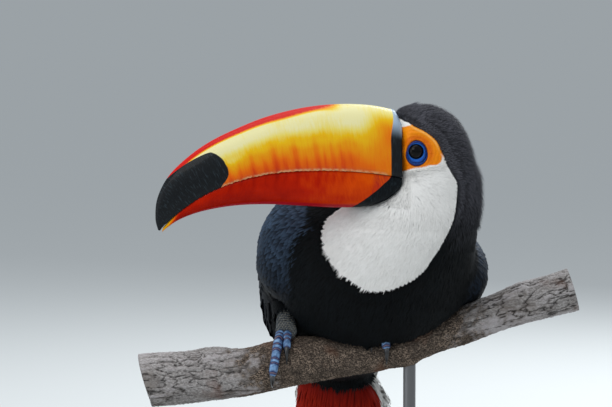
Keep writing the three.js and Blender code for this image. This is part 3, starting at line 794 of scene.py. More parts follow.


# The black's second colour pair is a painted sheen: lighter grey on the head and nape.
BLACK = plumage_material(
    "body_black", (0.0020, 0.0027, 0.0032), (0.0050, 0.0072, 0.009),
    roughness=0.55, contrast=0.55, sheen=0.012, specular=0.07,
    sheen_colours=((0.042, 0.042, 0.049), (0.15, 0.15, 0.178)))
# The wing black's second colour pair is a painted blue sheen, high on the wing.
BLACK_WING = plumage_material(
    "wing_black", (0.0018, 0.0024, 0.0034), (0.006, 0.009, 0.0145),
    roughness=0.6, contrast=0.45, sheen=0.004, specular=0.08,
    sheen_colours=((0.015, 0.024, 0.040), (0.060, 0.100, 0.165)))
WHITE_SILK = plumage_material(
    "bib_white", (0.84, 0.825, 0.80), (0.86, 0.85, 0.83),
    roughness=0.7, contrast=0.08, sheen=0.08, specular=0.15, deep=0.75, root=0.93)
WHITE_RUMP = plumage_material(
    "rump_white", (0.74, 0.73, 0.70), (0.80, 0.80, 0.78),
    roughness=0.7, contrast=0.15, sheen=0.08, specular=0.15, deep=0.6, root=0.85)
# This red is darkened below the feathers' own bright red: painted shade from the branch above.
RED_VENT = plumage_material(
    "vent_red", (0.25, 0.007, 0.002), (0.38, 0.016, 0.003),
    roughness=0.65, contrast=0.45, sheen=0.02, specular=0.08)
print("plumage materials made")

# %% [markdown]
# ## How feathers are laid
# A feather starts at its root on the skin and takes short steps along the lie of the coat. After
# each step it is put back at its own height above the nearest skin, so it hugs the body however
# the body curves, and its tip rests on the roots of the feathers behind. All the feathers of a
# patch take their steps at once, as whole arrays.
# %% Roots, spread evenly
TRIES = 2.6  # random points for each square of the spacing's size


def scatter(spacing, where, seed):
    """Roots on the skin: many random points, of which each little cube of the spacing's size
    keeps one, and of those the ones for which where(points) is true. Faces of the skin that lie
    well outside are left out first."""
    rng = np.random.default_rng(seed)
    likely = relaxed(where(skin_points)[:, None].astype(float), skin_edges, 4)[:, 0] > 0
    corners = np.concatenate([skin_faces[:, :3], skin_faces[:, [0, 2, 3]]])
    tri = skin_points[corners[likely[corners].any(1)]]
    spread = np.cross(tri[:, 1] - tri[:, 0], tri[:, 2] - tri[:, 0])
    area = np.linalg.norm(spread, axis=1) / 2
    count = int(area.sum() / spacing**2 * TRIES)
    tri = tri[rng.choice(len(area), count, p=area / area.sum())]
    a, b = rng.random((2, count))
    flip = a + b > 1
    a, b = np.where(flip, 1 - a, a)[:, None], np.where(flip, 1 - b, b)[:, None]
    points = tri[:, 0] + a * (tri[:, 1] - tri[:, 0]) + b * (tri[:, 2] - tri[:, 0])
    _, keep = np.unique(np.floor(points / spacing).astype(int), axis=0, return_index=True)
    points = points[keep]
    return points[where(points)]


# %% Unwrap of the skin, for the coat's own map
PATCH = 0.003  # the width and height of one feather's own place on the map


def unwrapped(points):
    """Where a place on the skin lies on its flat unwrap. The body is cut along its back and laid
    flat as a cylinder: angle round the spine across, t upwards. The head is another cylinder
    above it: angle round the head's axis across, and the place ahead of the nape upwards."""
    t, angle = round_spine(points)
    ahead, aside, above = in_head(points)
    on_head = (t > 0.86) & (ahead > -62)
    round_head = np.arctan2(aside, above)
    u = np.where(on_head, round_head, angle) / (2 * math.pi) + 0.5
    v = np.where(on_head, 0.72 + 0.26 * np.clip((ahead + 70) / 75, 0, 1), 0.7 * t)
    return np.stack([0.004 + 0.99 * u, 0.004 + 0.99 * v], -1)


# %% One mesh of many feathers
def widths(shape, v):
    """Half width of a vane, as a share of its largest, at v from root to tip: hair narrows
    steadily to a point, and a contour or flight feather is an oval or a blade with a round end."""
    if shape == "hair":
        return (0.5 + 0.5 * step(0, 0.3, v)) * (1 - v**2.2) + 0.05
    if shape == "oval":
        return (0.35 + 0.65 * step(0, 0.5, v)) * np.sqrt(np.clip(1 - step(0.45, 1.02, v), 0, 1)) + 0.03
    tip = np.clip(1 - ((v - 0.6) / 0.42).clip(0) ** 3, 0, 1) ** 0.6
    return (0.55 + 0.45 * step(0, 0.25, v)) * tip + 0.03


def painted_head_sheen(points):
    """A painted lighter-grey sheen on the head and nape, fading downwards and on the front of the neck."""
    ahead, _, above = in_head(points)
    return step(-72, -22, above) * step(32, 8, ahead)


def feather_mesh(name, rings, roots, material, rng, thick=0.0, sheen_share=painted_head_sheen):
    """One mesh from the points of many feathers: an array by feather, step along and step
    across. It keeps how far along and across each point is, a tone for each feather, and a
    share of painted sheen, given by a function of the roots."""
    count, rows, cols = rings.shape[:3]
    all_faces = repeated(grid_faces(rows, cols)[:, ::-1], count, rows * cols)
    along = np.repeat(np.linspace(0, 1, rows), cols)
    across = np.tile(np.linspace(-1, 1, cols), rows)
    values = {
        "along": np.tile(along, count),
        "across": np.tile(across, count),
        "tone": np.repeat(rng.random(count), rows * cols),
        "painted_sheen": np.repeat(sheen_share(roots), rows * cols),
    }
    piece = add_mesh(name, rings.reshape(-1, 3), all_faces, material, values=values)
    patch = np.stack([across / 2, along - 0.5], -1) * PATCH
    place = (unwrapped(roots)[:, None] + patch[None]).reshape(-1, 2)
    layer = piece.data.uv_layers.new(name="OFBake")
    layer.uv.foreach_set("vector", place[all_faces.ravel()].astype(np.float32).ravel())
    if thick:
        thickened(piece, thick)
    print(name, count, "feathers", len(all_faces) * 2, "triangles")


# %% Feathers that hug the skin
FOLLOW = 0.35  # how much of the lie's turn a feather takes at each step
FACING_AWAY = 0.35  # past this the skin has turned away, and a trailing feather runs straight


def bunched(roots, size):
    """From each root to the mean of the roots that share its cube of the given size."""
    _, bunch = np.unique(np.floor(roots / size).astype(int), axis=0, return_inverse=True)
    bunch = bunch.ravel()
    members = np.bincount(bunch)[:, None]
    middle = np.stack([np.bincount(bunch, roots[:, k]) for k in range(3)], 1) / members
    return middle[bunch] - roots


def lay_feathers(name, roots, length, width, start, end, material, shape="hair", rows=3,
                 cols=2, camber=0.3, stray=6.0, clump=0.0, clump_size=9.0, lie=None, seed=1, thick=0.0,
                 sheen_share=painted_head_sheen, trailing=(0, 0, 0)):
    """One mesh of feathers. length, width, start and end (heights of root and tip above the
    skin) are numbers or one per feather; stray is the random turn in degrees; clump draws the
    tips of each bunch together; lie gives other directions at the roots. trailing is a way in
    which feathers may run straight off the end of the skin."""
    rng = np.random.default_rng(seed)
    count = len(roots)
    sizes = (length, width, start, end)
    length, width, start, end = (np.broadcast_to(np.asarray(x, float), (count,)) for x in sizes)
    end = end * rng.uniform(0.85, 1.1, count)
    owner = nearest_skin(roots)
    normal = skin_normals[owner]
    turned = np.radians(rng.normal(0, stray, count))[:, None]
    heading = turn(skin_lie[owner] if lie is None else flattened(lie, normal), normal, turned)
    steer = FOLLOW if lie is None else 0.0
    offset = bunched(roots, clump_size)
    offset -= heading * dot(offset, heading)[:, None]
    point = roots.copy()
    loose = np.zeros((count, 1), bool)
    u = np.linspace(-1, 1, cols + 1)
    rings = np.empty((count, rows + 1, cols + 1, 3))
    for i, v in enumerate(np.linspace(0, 1, rows + 1)):
        owner = nearest_skin(point)
        loose |= (skin_normals[owner] @ trailing > FACING_AWAY)[:, None]
        normal = np.where(loose, normal, skin_normals[owner])
        raised = start + (end - start) * v**0.8
        lift = (dot(point - skin_points[owner], normal) - raised)[:, None]
        point = point - normal * np.where(loose, 0, lift)
        side = unit(np.cross(normal, heading))
        half = (width / 2 * widths(shape, v))[:, None, None]
        across = side[:, None] * u[None, :, None] * half
        droop = normal[:, None] * (camber * u**2)[None, :, None] * half
        gathered = (offset * clump * v**1.5)[:, None]
        rings[:, i] = point[:, None] + across - droop + gathered
        flow = turn(np.where(loose, trailing, skin_lie[owner]), normal, turned)
        heading = flattened(heading + steer * (flow - heading), normal)
        point = point + heading * (length / rows)[:, None]
    feather_mesh(name, rings, roots, material, rng, thick, sheen_share)


# %% [markdown]
# ## The skin as a mesh
# The skin shows only where two feathers part, and there it has to have their colour. A number
# on each point says how white it is, how red, and how much it belongs to the bare face.
# %% Skin
skin_material, tree = new_material("skin")
colour = layered(
    tree, (0.003, 0.003, 0.004),
    (stored(tree, "white"), (0.72, 0.715, 0.70)),
    (stored(tree, "red"), (0.12, 0.004, 0.003)),
    (stored(tree, "bare"), (0.75, 0.2, 0.02)))
principled(tree, colour, 0.7, bump=(noise(tree, 700.0, 4.0), 0.4, 0.3))
skin_red = in_undertail(skin_points)
skin_rump = ((skin_points - tail_root) @ TAIL_DOWN > VENT) & ~skin_red
skin_white = in_bib(skin_points) | skin_rump
add_mesh("skin", skin_points, skin_faces, skin_material, replaces=FLESH, values={
    "white": relaxed(skin_white[:, None].astype(float), skin_edges, 1),
    "red": skin_red.astype(float),
    "bare": in_face(skin_points).astype(float),
})


# %% [markdown]
# ## The coat
# A toucan's head and breast look like silk: thousands of fine pointed tufts. Each patch of
# plumage is laid with tufts of its own length. A tuft takes the colour of the place where its
# root is, and stops where the plumage changes, so the edge of the white bib keeps its curve.
# %% Which tufts go where
HEAD_BACK, HEAD_LOW, HEAD_FROM_T = -72, -55, 0.72  # where the head's plumage ends
BILL_BASE_LOW, BILL_BASE_HALF = -32, 24  # how low and how far to the side the bill's base goes


def depth_at(points):
    """Depth of the coat at the nearest skin point."""
    return depth[nearest_skin(points), 0]


def beside_bare(points, margin):
    """True close round the bare face and along the bill's base, where the feathers are tiny."""
    ahead, aside, above = in_head(points)
    return (in_face(points, margin) & (np.abs(aside) > 12)) | ((ahead > -margin) & (above > -40))


def on_head(points):
    """True on the crown, cheeks and nape."""
    t, _ = round_spine(points)
    ahead, _, above = in_head(points)
    return (ahead > HEAD_BACK) & (t > HEAD_FROM_T) & (above > HEAD_LOW)


def plumage_at(points):
    """What lies at a place: 0 black, 1 white, 2 red, 3 bare skin, 4 the bill's base."""
    away = points - tail_root
    behind = (away @ TAIL_DOWN > VENT) & (away @ TAIL_FRONT <= 0)
    ahead, aside, above = in_head(points)
    under_face = in_face(points, 3) & (above < -5)
    kind = np.where(in_bib(points) | behind | under_face, 1, 0)
    kind = np.where(in_face(points), 3, np.where(in_undertail(points), 2, kind))
    at_bill = (ahead > -0.4) & (above > BILL_BASE_LOW) & (np.abs(aside) < BILL_BASE_HALF)
    return np.where(at_bill, 4, kind)


# %% Room for a tuft before the plumage changes
skin_kind = plumage_at(skin_points)
by_kind = (skin_kind[:, None] == np.arange(5)).astype(float)
near_change = relaxed(by_kind, skin_edges, 8).max(1) < 0.999
ROOM_STEP = 0.5
SHORTEST_TUFT = 0.9
print("skin points near a change of plumage", near_change.sum())


def room(points, longest):
    """How far a feather can run from each root before the plumage under it changes: steps along
    the lie, each put back on the skin, until the kind differs from the root's."""
    far = np.full(len(points), float(longest))
    close = np.nonzero(near_change[nearest_skin(points)])[0]
    place = points[close]
    kind = plumage_at(place)
    for k in range(int(longest / ROOM_STEP)):
        owner = nearest_skin(place)
        place = place + skin_lie[owner] * ROOM_STEP
        height = dot(place - skin_points[owner], skin_normals[owner])
        place = place - skin_normals[owner] * height[:, None]
        left = plumage_at(place) != kind
        far[close[left]] = k * ROOM_STEP
        close, place, kind = close[~left], place[~left], kind[~left]
    return far


def patch_roots(spacing, length, colour, zone, seed):
    """Roots of one patch, in the zone and on its colour, and their lengths, which vary by a
    seventh and stop where the plumage changes. Very short ones are left out."""
    roots = scatter(spacing, lambda points: zone(points) & (plumage_at(points) == colour), seed)
    wish = length * np.random.default_rng(seed).uniform(0.86, 1.14, len(roots))
    lengths = np.minimum(wish, room(roots, length * 1.1) + 0.35)
    keep = lengths > SHORTEST_TUFT
    return roots[keep], lengths[keep]


def near_border(points):
    """True where the plumage changes within a dozen millimetres."""
    return near_change[nearest_skin(points)]


# %% Zones of the coat
BODY_TO, WING_TO, COVERTS_FROM = 6, -23, -6  # places down the tail's line
SHOULDER_FROM_T = 0.47


def face_zone(points):
    """Right beside the bare skin and the bill."""
    return beside_bare(points, 7) & on_head(points)


def crown_zone(points):
    """The rest of the head and the nape."""
    return on_head(points) & ~beside_bare(points, 6)


def breast_zone(points):
    """Everything in front of the wings that isn't head."""
    away = points - tail_root
    return ~on_head(points) & (in_wing(points, -3) == 0) & (away @ TAIL_DOWN < BODY_TO)


def forehead_zone(points):
    """The front of the crown, whose feathers stand up against the bill's base."""
    ahead, _, above = in_head(points)
    return (ahead > -13) & (above > 17) & ~in_face(points, 1)


def inner(zone):
    """A zone less the strips along its borders."""
    return lambda points: zone(points) & ~near_border(points)


def border(zone):
    """The strips along a zone's borders."""
    return lambda points: zone(points) & near_border(points)


def in_front(points):
    """True on the bird's front, within a right angle of its middle."""
    return np.abs(round_spine(points)[1]) < math.pi / 2


def belly_zone(points):
    """The front of the neck and body."""
    return breast_zone(points) & in_front(points)


def back_zone(points):
    """The sides and back of the neck and body."""
    return breast_zone(points) & ~in_front(points)


# %% The coat, patch by patch
COATS = [  # name, zone, colour, material, spacing, length, width, stray, clump, heights as shares
    ("face_edge_black", face_zone, 0, BLACK, 0.7, 3.2, 0.5, 10, 0.0, 0.3, 1.0),
    ("face_edge_white", face_zone, 1, WHITE_SILK, 0.55, 2.4, 0.45, 8, 0.0, 0.4, 1.0),
    ("forehead", forehead_zone, 0, BLACK, 0.75, 7.0, 0.5, 14, 0.25, 0.2, 2.6),
    ("crown_and_nape", inner(crown_zone), 0, BLACK, 0.88, 8.0, 0.55, 10, 0.2, 0.3, 1.1),
    ("crown_fringe", inner(crown_zone), 0, BLACK, 1.7, 9.0, 0.42, 16, 0.15, 0.5, 1.8),
    ("nape_border", border(crown_zone), 0, BLACK, 0.8, 5.0, 0.6, 8, 0.0, 0.45, 1.0),
    ("cheek_border", border(crown_zone), 1, WHITE_SILK, 0.7, 4.5, 0.65, 6, 0.0, 0.55, 1.0),
    ("cheeks", inner(crown_zone), 1, WHITE_SILK, 0.8, 6.0, 0.75, 5, 0.05, 0.6, 1.0),
    ("bib", inner(breast_zone), 1, WHITE_SILK, 0.9, 9.0, 0.95, 5, 0.08, 0.65, 1.0),
    ("bib_border_white", border(breast_zone), 1, WHITE_SILK, 0.62, 5.0, 0.5, 4, 0.0, 0.6, 1.0),
    ("bib_border_black", border(breast_zone), 0, BLACK, 0.8, 6.0, 0.7, 5, 0.0, 0.5, 1.0),
    ("breast_and_belly", inner(belly_zone), 0, BLACK, 1.5, 13.0, 1.6, 8, 0.3, 0.4, 1.0),
    ("flanks_and_back", inner(back_zone), 0, BLACK, 1.5, 13.0, 1.6, 8, 0.3, 0.4, 1.0),
]
for seed, row in enumerate(COATS):
    name, zone, colour, material, spacing, length, width, stray, clump, low, high = row
    roots, lengths = patch_roots(spacing, length, colour, zone, seed + 11)
    slot = "white_plumage" if colour else "black_plumage"
    full = depth_at(roots)
    lay_feathers(name, roots, lengths, width, full * low, full * high, material,
                 stray=stray, clump=clump, seed=seed + 40)

# %% [markdown]
# ## The bill
# Two thin shells of horn over a foam of bone, so light that the bird can hold it level. Each shell
# is a fan of half-oval rings that swing round as the tip hooks down. Every point keeps where it
# is along the bill (`run`) and how far up from the cutting edge (`climb`), and the colours are
# drawn from smooth fields of these: a ripeness from red through orange to pale yellow, and the
# borders of the black patches, which the material cuts off sharply. The palest cream along the
# top is partly the horn's yellow and partly a painted highlight, and the top of the black band
# takes a painted sky reflection.
# %% Sizes of the two shells
UPPER_ROWS = [  # the ridge's place ahead and height, the cutting edge's place and height, half width
    (0, 33, 0, -18, 21.5),
    (20, 37, 17, -15.5, 21.5),
    (45, 38, 41, -12.8, 20.6),
    (72, 35.5, 67, -12, 19),
    (100, 29, 92, -13, 17),
    (124, 20, 114, -16.5, 14.6),
    (146, 9.5, 133, -22, 12),
    (164, -3, 149, -29, 9.4),
    (178, -17, 162, -37, 7),
    (186, -33, 173, -46, 4.6),
    (187.5, -48, 181, -53.5, 2.4),
    (185.5, -57, 184, -57.5, 0.7),
]
LOWER_ROWS = [
    (0, -29, 0, -18, 20.5),
    (9, -36.5, 12, -16.3, 20.6),
    (24, -41, 32, -13.8, 20.2),
    (48, -41.5, 55, -12.3, 18.9),
    (75, -39.8, 79, -12.4, 17),
    (100, -38.4, 101, -14.3, 15),
    (122, -38.8, 119, -17.8, 13),
    (141, -41, 136, -23, 10.8),
    (157, -44.6, 151, -30, 8.5),
    (170, -49.6, 164, -38.5, 5.8),
    (178, -54.8, 174, -47, 3.4),
    (182.5, -58.5, 181.5, -55, 0.9),
]
EDGE_GAP = 0.18
BILL_LENGTH = 190
HORN_RINGS, DOME_STEPS, FLAT_STEPS = 190, 97, 10


# %% Rings of a shell
def horn(rows, squareness, tooth):
    """Rings of one shell. A ring point at angle a, from 0 to 180 degrees, is half the width times
    cos a to the side, and sin a to the power of the squareness up from the cutting edge to the
    ridge; then the ring runs back flat along the edge. Teeth are a saw wave on the edge. The
    toothed upper shell rounds back and down at the brow, where it meets the forehead."""
    run = 1 - (1 - np.linspace(0, 1, HORN_RINGS)) ** 1.25
    dome = np.linspace(0, math.pi, DOME_STEPS)
    flat = np.linspace(1, -1, FLAT_STEPS + 2)[1:-1]
    climb = np.concatenate([np.sin(dome).clip(0) ** squareness, np.zeros(len(flat))])
    aside = np.concatenate([np.cos(dome), -flat])
    table = rows_at(rows, run)[:, None]
    ridge, edge, half = table[..., 0:2], table[..., 2:4], table[..., 4]
    length = np.linalg.norm(ridge - edge, axis=-1)
    rise = (ridge - edge) / length[..., None]
    height = EDGE_GAP + (length - EDGE_GAP) * climb
    place = table[..., 2]
    saw = (place / 3.4 + 0.35 * np.sin(place / 9)) % 1
    bite = tooth * saw * step(0.07, 0.0, climb) * step(20, 45, place) * step(0.86, 0.7, run)[:, None]
    height = height - bite * np.sign(climb + 1e-9)
    ripple = 0.10 * np.sin(place / 5.5 + 1.5 * np.sin(place / 23)) * climb * (1 - climb) * 4
    side = (half + ripple) * aside
    ahead, above = edge[..., 0] + rise[..., 0] * height, edge[..., 1] + rise[..., 1] * height
    brow = step(0.45, 0.9, climb) * np.sign(tooth) * step(7, 0, ahead)
    points = head_point(ahead - 1.6 * brow, side, above - 4.5 * brow * step(3.5, 0, ahead))
    climb = np.broadcast_to(climb, points.shape[:2])
    run = np.broadcast_to(run[:, None], points.shape[:2])
    return points, run, climb


upper_rings, upper_run, upper_climb = horn(UPPER_ROWS, 0.72, 0.75)
lower_rings, lower_run, lower_climb = horn(LOWER_ROWS, 0.6, 0.0)
print("horn rings", upper_rings.shape, "and", lower_rings.shape)

# %% Fields of colour on the upper shell
STREAKS = [  # place ahead in millimetres, width, how far it climbs, strength
    (131, 1.6, 0.60, 0.8), (123, 1.2, 0.44, 0.5), (113, 1.8, 0.62, 0.9), (104, 1.4, 0.45, 0.6),
    (96, 2.0, 0.66, 1.0), (89, 1.2, 0.50, 0.6), (80, 2.1, 0.70, 1.0), (73, 1.3, 0.46, 0.6),
    (64, 1.7, 0.64, 0.9), (58, 1.2, 0.52, 0.7), (52, 1.3, 0.60, 0.8), (45, 1.5, 0.52, 0.7),
    (38, 1.2, 0.40, 0.5),
]


def horn_values(run, climb, **fields):
    """The numbers kept on a shell's points: its colour fields, and the place along and up it."""
    fields |= {"run": run * 200, "climb": climb * 50}
    return {key: with_ends(value) for key, value in fields.items()}


def streaks(ahead, climb, lean):
    """Flames that rise from the cutting edge: each a bell across its width, fading as it climbs,
    and leaning towards the tip."""
    total = np.zeros_like(ahead)
    for place, width, reach, strength in STREAKS:
        bell = np.exp(-(((ahead - place - lean * climb) / width) ** 2))
        total = np.maximum(total, strength * bell * step(reach, reach * 0.35, climb))
    return total


ahead, _, _ = in_head(upper_rings)
mottle = wander(upper_rings, 26, 5)
base_end = step(34, 4, ahead)
wave = 0.03 * np.sin(ahead / 9) + 0.02 * np.sin(ahead / 4.1 + 1)
ripeness = 0.40 + 0.24 * step(0.04, 0.36, upper_climb + wave)
ripeness += 0.12 * step(0.34, 0.5, upper_climb + wave)
# Towards the top the horn turns pale cream: partly its own yellow and partly a painted highlight.
ripeness += 0.2 * step(0.5, 0.74, upper_climb)
ripeness += 0.06 * step(96, 130, ahead) * step(0.1, 0.5, upper_climb)
ripeness += base_end * (0.53 - ripeness) * step(1.0, 0.62, upper_climb)
ripeness -= 0.17 * streaks(ahead, upper_climb, 9) * (1 - base_end)
ripeness += 0.03 * mottle
right_of = np.where(
    upper_climb > 0.38,
    0.03 * ((upper_climb - 0.38) / 0.43) ** 2 + 0.155 * step(0.8, 1.04, upper_climb),
    0.05 * ((0.38 - upper_climb) / 0.38) ** 3,
)
tip_patch = (upper_run - 0.528 - right_of + 0.002 * wander(upper_rings, 16, 8)) * BILL_LENGTH
band = 8.6 - ahead - 4.2 * step(0.5, 0.97, upper_climb)
ridge_red = (upper_climb - 0.935) * 60 * step(36, 70, ahead) + 2.4 * step(56, 92, ahead) - 1.2
ripeness -= 0.42 * step(-2.6, 0.2, ridge_red) * step(40, 60, ahead)
# The top of the black band at the bill's base gets a painted blue-grey sky reflection.
upper_values = horn_values(
    upper_run, upper_climb, ripeness=ripeness, patch=np.maximum(tip_patch, band), ridge=ridge_red,
    edge=step(0.045, 0.0, upper_climb) * step(6, 14, ahead),
    sky=step(0.55, 0.85, upper_climb) * step(14, 6, ahead))
print("upper shell coloured, ripeness up to", ripeness.max().round(2))

# %% Fields of colour on the lower shell
ahead, _, above = in_head(lower_rings)
ripeness = 0.25 - 0.20 * step(20, 120, ahead) + 0.06 * step(0.75, 0.1, lower_climb)
ripeness -= 0.09 * streaks(ahead, lower_climb, 4) * step(12, 30, ahead)
ripeness += 0.62 * step(0.84, 0.94, lower_run) + 0.04 * wander(lower_rings, 22, 6)
ripeness += 0.10 * step(28, 8, ahead) * step(0.8, 0.2, lower_climb)
base_patch = 8 + 27.6 * np.clip((-16.5 - above) / 24.5, 0, 1) ** 1.12 - ahead
lower_values = horn_values(
    lower_run, lower_climb, ripeness=ripeness, patch=base_patch + 0.4 * wander(lower_rings, 8, 3),
    ridge=(lower_climb - 0.9) * 30 * step(20, 50, ahead), edge=0 * lower_climb, sky=0 * lower_climb)
print("lower shell coloured, ripeness up to", ripeness.max().round(2))

# %% Horn material
HORN_COLOURS = [  # ripeness, colour
    (0.0, (0.27, 0.003, 0.0)),
    (0.16, (0.45, 0.012, 0.0)),
    (0.32, (0.64, 0.060, 0.0)),
    (0.48, (0.74, 0.135, 0.0)),
    (0.62, (0.75, 0.25, 0.0)),
    (0.78, (0.77, 0.46, 0.004)),
    (0.88, (0.77, 0.63, 0.13)),
    # The palest cream is partly a painted highlight along the top of the bill.
    (0.98, (0.76, 0.70, 0.36)),
]


def horn_material(name, ridge_colour, edge_colour, gloss):
    """Horn: ripeness through a colour ramp, fine growth lines across the bill, and the black
    patches, the coloured ridge and the pale edge laid over it, each from its own field. The
    palest cream of the ramp is partly a painted highlight, and the black band's top takes a
    painted sky reflection."""
    made, tree = new_material(name)
    lines = add(tree, "ShaderNodeTexNoise", {"Scale": 1.0, "Detail": 4.0, "Roughness": 0.6})
    across = add(tree, "ShaderNodeCombineXYZ")
    tree.links.new(stored(tree, "run", 0.9), across.inputs[0])
    tree.links.new(stored(tree, "climb", 0.09), across.inputs[1])
    tree.links.new(across.outputs[0], lines.inputs["Vector"])
    fine = calculate(tree, "SUBTRACT", lines.outputs["Fac"], 0.5)
    mixed = calculate(tree, "MULTIPLY_ADD", fine, 0.16, stored(tree, "ripeness"))
    cloudy = calculate(tree, "SUBTRACT", noise(tree, 45.0), 0.5)
    mixed = calculate(tree, "MULTIPLY_ADD", cloudy, 0.1, mixed)
    ramp = add(tree, "ShaderNodeValToRGB")
    while len(ramp.color_ramp.elements) < len(HORN_COLOURS):
        ramp.color_ramp.elements.new(0.5)
    for element, (place, colour) in zip(ramp.color_ramp.elements, HORN_COLOURS):
        element.position, element.color = place, (*colour, 1.0)
    tree.links.new(mixed, ramp.inputs["Fac"])
    ragged = calculate(tree, "MULTIPLY_ADD", fine, 3.0, stored(tree, "ridge"))
    ridge = ramp_value(tree, ragged, -0.8, 0.9)
    worn = ramp_value(tree, noise(tree, 300.0, 2.0), 0.35, 0.6, 0.15, 0.85)
    edge = calculate(tree, "MULTIPLY", ramp_value(tree, stored(tree, "edge"), 0.45, 0.95), worn)
    black = ramp_value(tree, stored(tree, "patch"), -0.35, 0.35)
    dark = between(tree, lines.outputs["Fac"], 0.5, 0.8, (0.004, 0.0055, 0.007), (0.03, 0.045, 0.055))
    # Painted reflection: the black band's top is lightened to a blue-grey sky reflection.
    dark = blended(tree, stored(tree, "sky"), dark, (0.34, 0.44, 0.55))
    layers = ((ridge, ridge_colour), (edge, edge_colour), (black, dark))
    colour = layered(tree, ramp.outputs["Color"], *layers)
    rough = calculate(tree, "MULTIPLY_ADD", black, 0.12, 0.30)
    rough = calculate(tree, "MULTIPLY_ADD", lines.outputs["Fac"], 0.12, rough)
    rough = calculate(tree, "MULTIPLY_ADD", ridge, 0.15, rough)
    height = calculate(tree, "MULTIPLY_ADD", black, 0.4, lines.outputs["Fac"])
    principled(tree, colour, rough, gloss, (height, 0.22, 0.25),
               **{"Coat Weight": gloss, "Coat Roughness": 0.13})
    return made


upper_horn = horn_material("upper_horn", (0.56, 0.004, 0.0), (0.78, 0.42, 0.20), 0.12)
lower_horn = horn_material("lower_horn", (0.34, 0.004, 0.012), (0.30, 0.05, 0.02), 0.04)
for name, rings, values, material, node in (
    ("bill_upper_horn", upper_rings, upper_values, upper_horn, "bill_upper"),
    ("bill_lower_horn", lower_rings, lower_values, lower_horn, "bill_lower"),
):
    points, faces = lofted(rings)
    add_mesh(name, points, faces, material, values=values, replaces=[node])
    print(name, len(points), "points")

# %% [markdown]
# ## Wings
# A folded wing is a stack. Flight feathers lie lowest, each a long stiff blade whose inner
# neighbour covers half of it: primaries to the wing's tip, secondaries behind them, tertials on
# top. Rows of coverts, shorter and shorter, roof their roots up to the shoulder. On the wing a
# place is given by t along the body and by q across it, -1 at the front edge and 1 at the back.
# %% The rows of a folded wing
def wing_point(side, t, q):
    """A place on the folded wing's skin: q steps half spans from the wing's middle angle."""
    rows = rows_where(WING_ROWS, t)
    angle = side * np.radians(rows[..., 1] + q * rows[..., 2])
    return body_point(t, angle, rows[..., 3] * 0.7)


def painted_wing_sheen(points):
    """A painted blue sheen high on the wing."""
    return step(-115, -42, in_head(points)[2])


WING_LAYERS = [  # name, count, root t and q from/to, tip t and q from/to, width, heights, shape
    ("primaries", 7, (0.40, 0.42), (-0.75, -0.25), (0.03, 0.16), (0.1, -0.55), 15, (0.5, 1.3), "blade"),
    ("secondaries", 9, (0.42, 0.50), (-0.55, 0.5), (0.15, 0.2), (-0.62, 0.45), 19, (1.0, 2.0), "blade"),
    ("tertials", 4, (0.46, 0.5), (0.45, 0.85), (0.2, 0.27), (0.3, 0.8), 22, (2.0, 2.7), "blade"),
    ("greater_coverts", 13, (0.46, 0.55), (-0.9, 0.9), (0.33, 0.4), (-0.9, 0.85), 13, (2.5, 3.0), "oval"),
    ("median_coverts", 14, (0.52, 0.585), (-0.92, 0.92), (0.43, 0.5), (-0.92, 0.9), 11, (2.9, 3.3), "oval"),
]
for side, side_name in SIDES:
    for seed, row in enumerate(WING_LAYERS):
        name, count, root_t, root_q, tip_t, tip_q, width, heights, shape = row
        share = np.linspace(0, 1, count)
        roots = wing_point(side, np.linspace(*root_t, count), np.linspace(*root_q, count))
        ends = wing_point(side, np.linspace(*tip_t, count), np.linspace(*tip_q, count))
        level = np.linspace(*heights, count)
        length = np.linalg.norm(ends - roots, axis=1) * 1.03 + 1.5 * np.sin(5 * share)
        lay_feathers(f"{name}_{side_name}", roots, length, width, level - 0.5, level, BLACK_WING,
                     shape=shape, rows=26, cols=6, camber=0.12, stray=1.0,
                     lie=ends - roots, seed=seed + 70, thick=0.25, sheen_share=painted_wing_sheen)

# %% Small feathers of the shoulder, and an underlayer
def whole_wing(points):
    """All of both folded wings and a margin round them, down to the tail's coverts."""
    return (in_wing(points, 3) != 0) & ((points - tail_root) @ TAIL_DOWN < WING_TO)


roots = scatter(4.0, whole_wing, 85)
lay_feathers("wing_underlayer", roots, 15, 6.5, 0.1, 0.7, BLACK_WING, shape="oval",
             rows=5, cols=4, camber=0.1, stray=4, seed=86, sheen_share=painted_wing_sheen)


def shoulder_zone(points):
    """The wing above the rows of coverts."""
    t, _ = round_spine(points)
    return (in_wing(points, 2) != 0) & (t > SHOULDER_FROM_T)


roots = scatter(2.7, shoulder_zone, 81)
lay_feathers("lesser_coverts", roots, 14, 4.6, 2.2, 3.3, BLACK_WING, shape="oval",
             rows=6, cols=4, camber=0.2, stray=4, seed=82, sheen_share=painted_wing_sheen)

# %% [markdown]
# ## Tail and its coverts
# Ten tail feathers, the middle pair on top at the back, hang square-ended. Long lax feathers
# cover their roots: bright red in front, under the tail, and white behind, above it.
# %% Tail feathers
TAIL_FEATHERS = 10
TAIL_REACH = 150
TAIL_STEPS, TAIL_COLUMNS = 40, 9


def tail_feather(number):
    """One tail feather: v runs down it and u across. Its vane is a blade with a square end, set
    to the side by its number and spreading a little downwards, and the middle ones lie on top."""
    v = np.linspace(0, 1, TAIL_STEPS)[:, None]
    u = np.linspace(-1, 1, TAIL_COLUMNS)[None]
    off = number - (TAIL_FEATHERS - 1) / 2
    reach = TAIL_REACH - 1.2 * abs(off) + 2 * (number % 2)
    square = np.clip(1 - ((v - 0.86) / 0.15).clip(0) ** 2.4, 0, 1) ** 0.5
    half = 9.5 * (0.35 + 0.65 * step(0, 0.45, v)) * square
    aside = off * (1.6 + 3.5 * v) + half * u
    back = 1.9 - 0.62 * abs(off) - 0.3 * (off > 0) - 0.5 * u**2 - 0.6 * v**2
    down = reach * v - 2.0 * np.abs(u) ** 1.5 * (v > 0.9)
    place = [value[..., None] for value in np.broadcast_arrays(down, aside, back)]
    return tail_root + place[0] * TAIL_DOWN + place[1] * TAIL_LEFT - place[2] * TAIL_FRONT


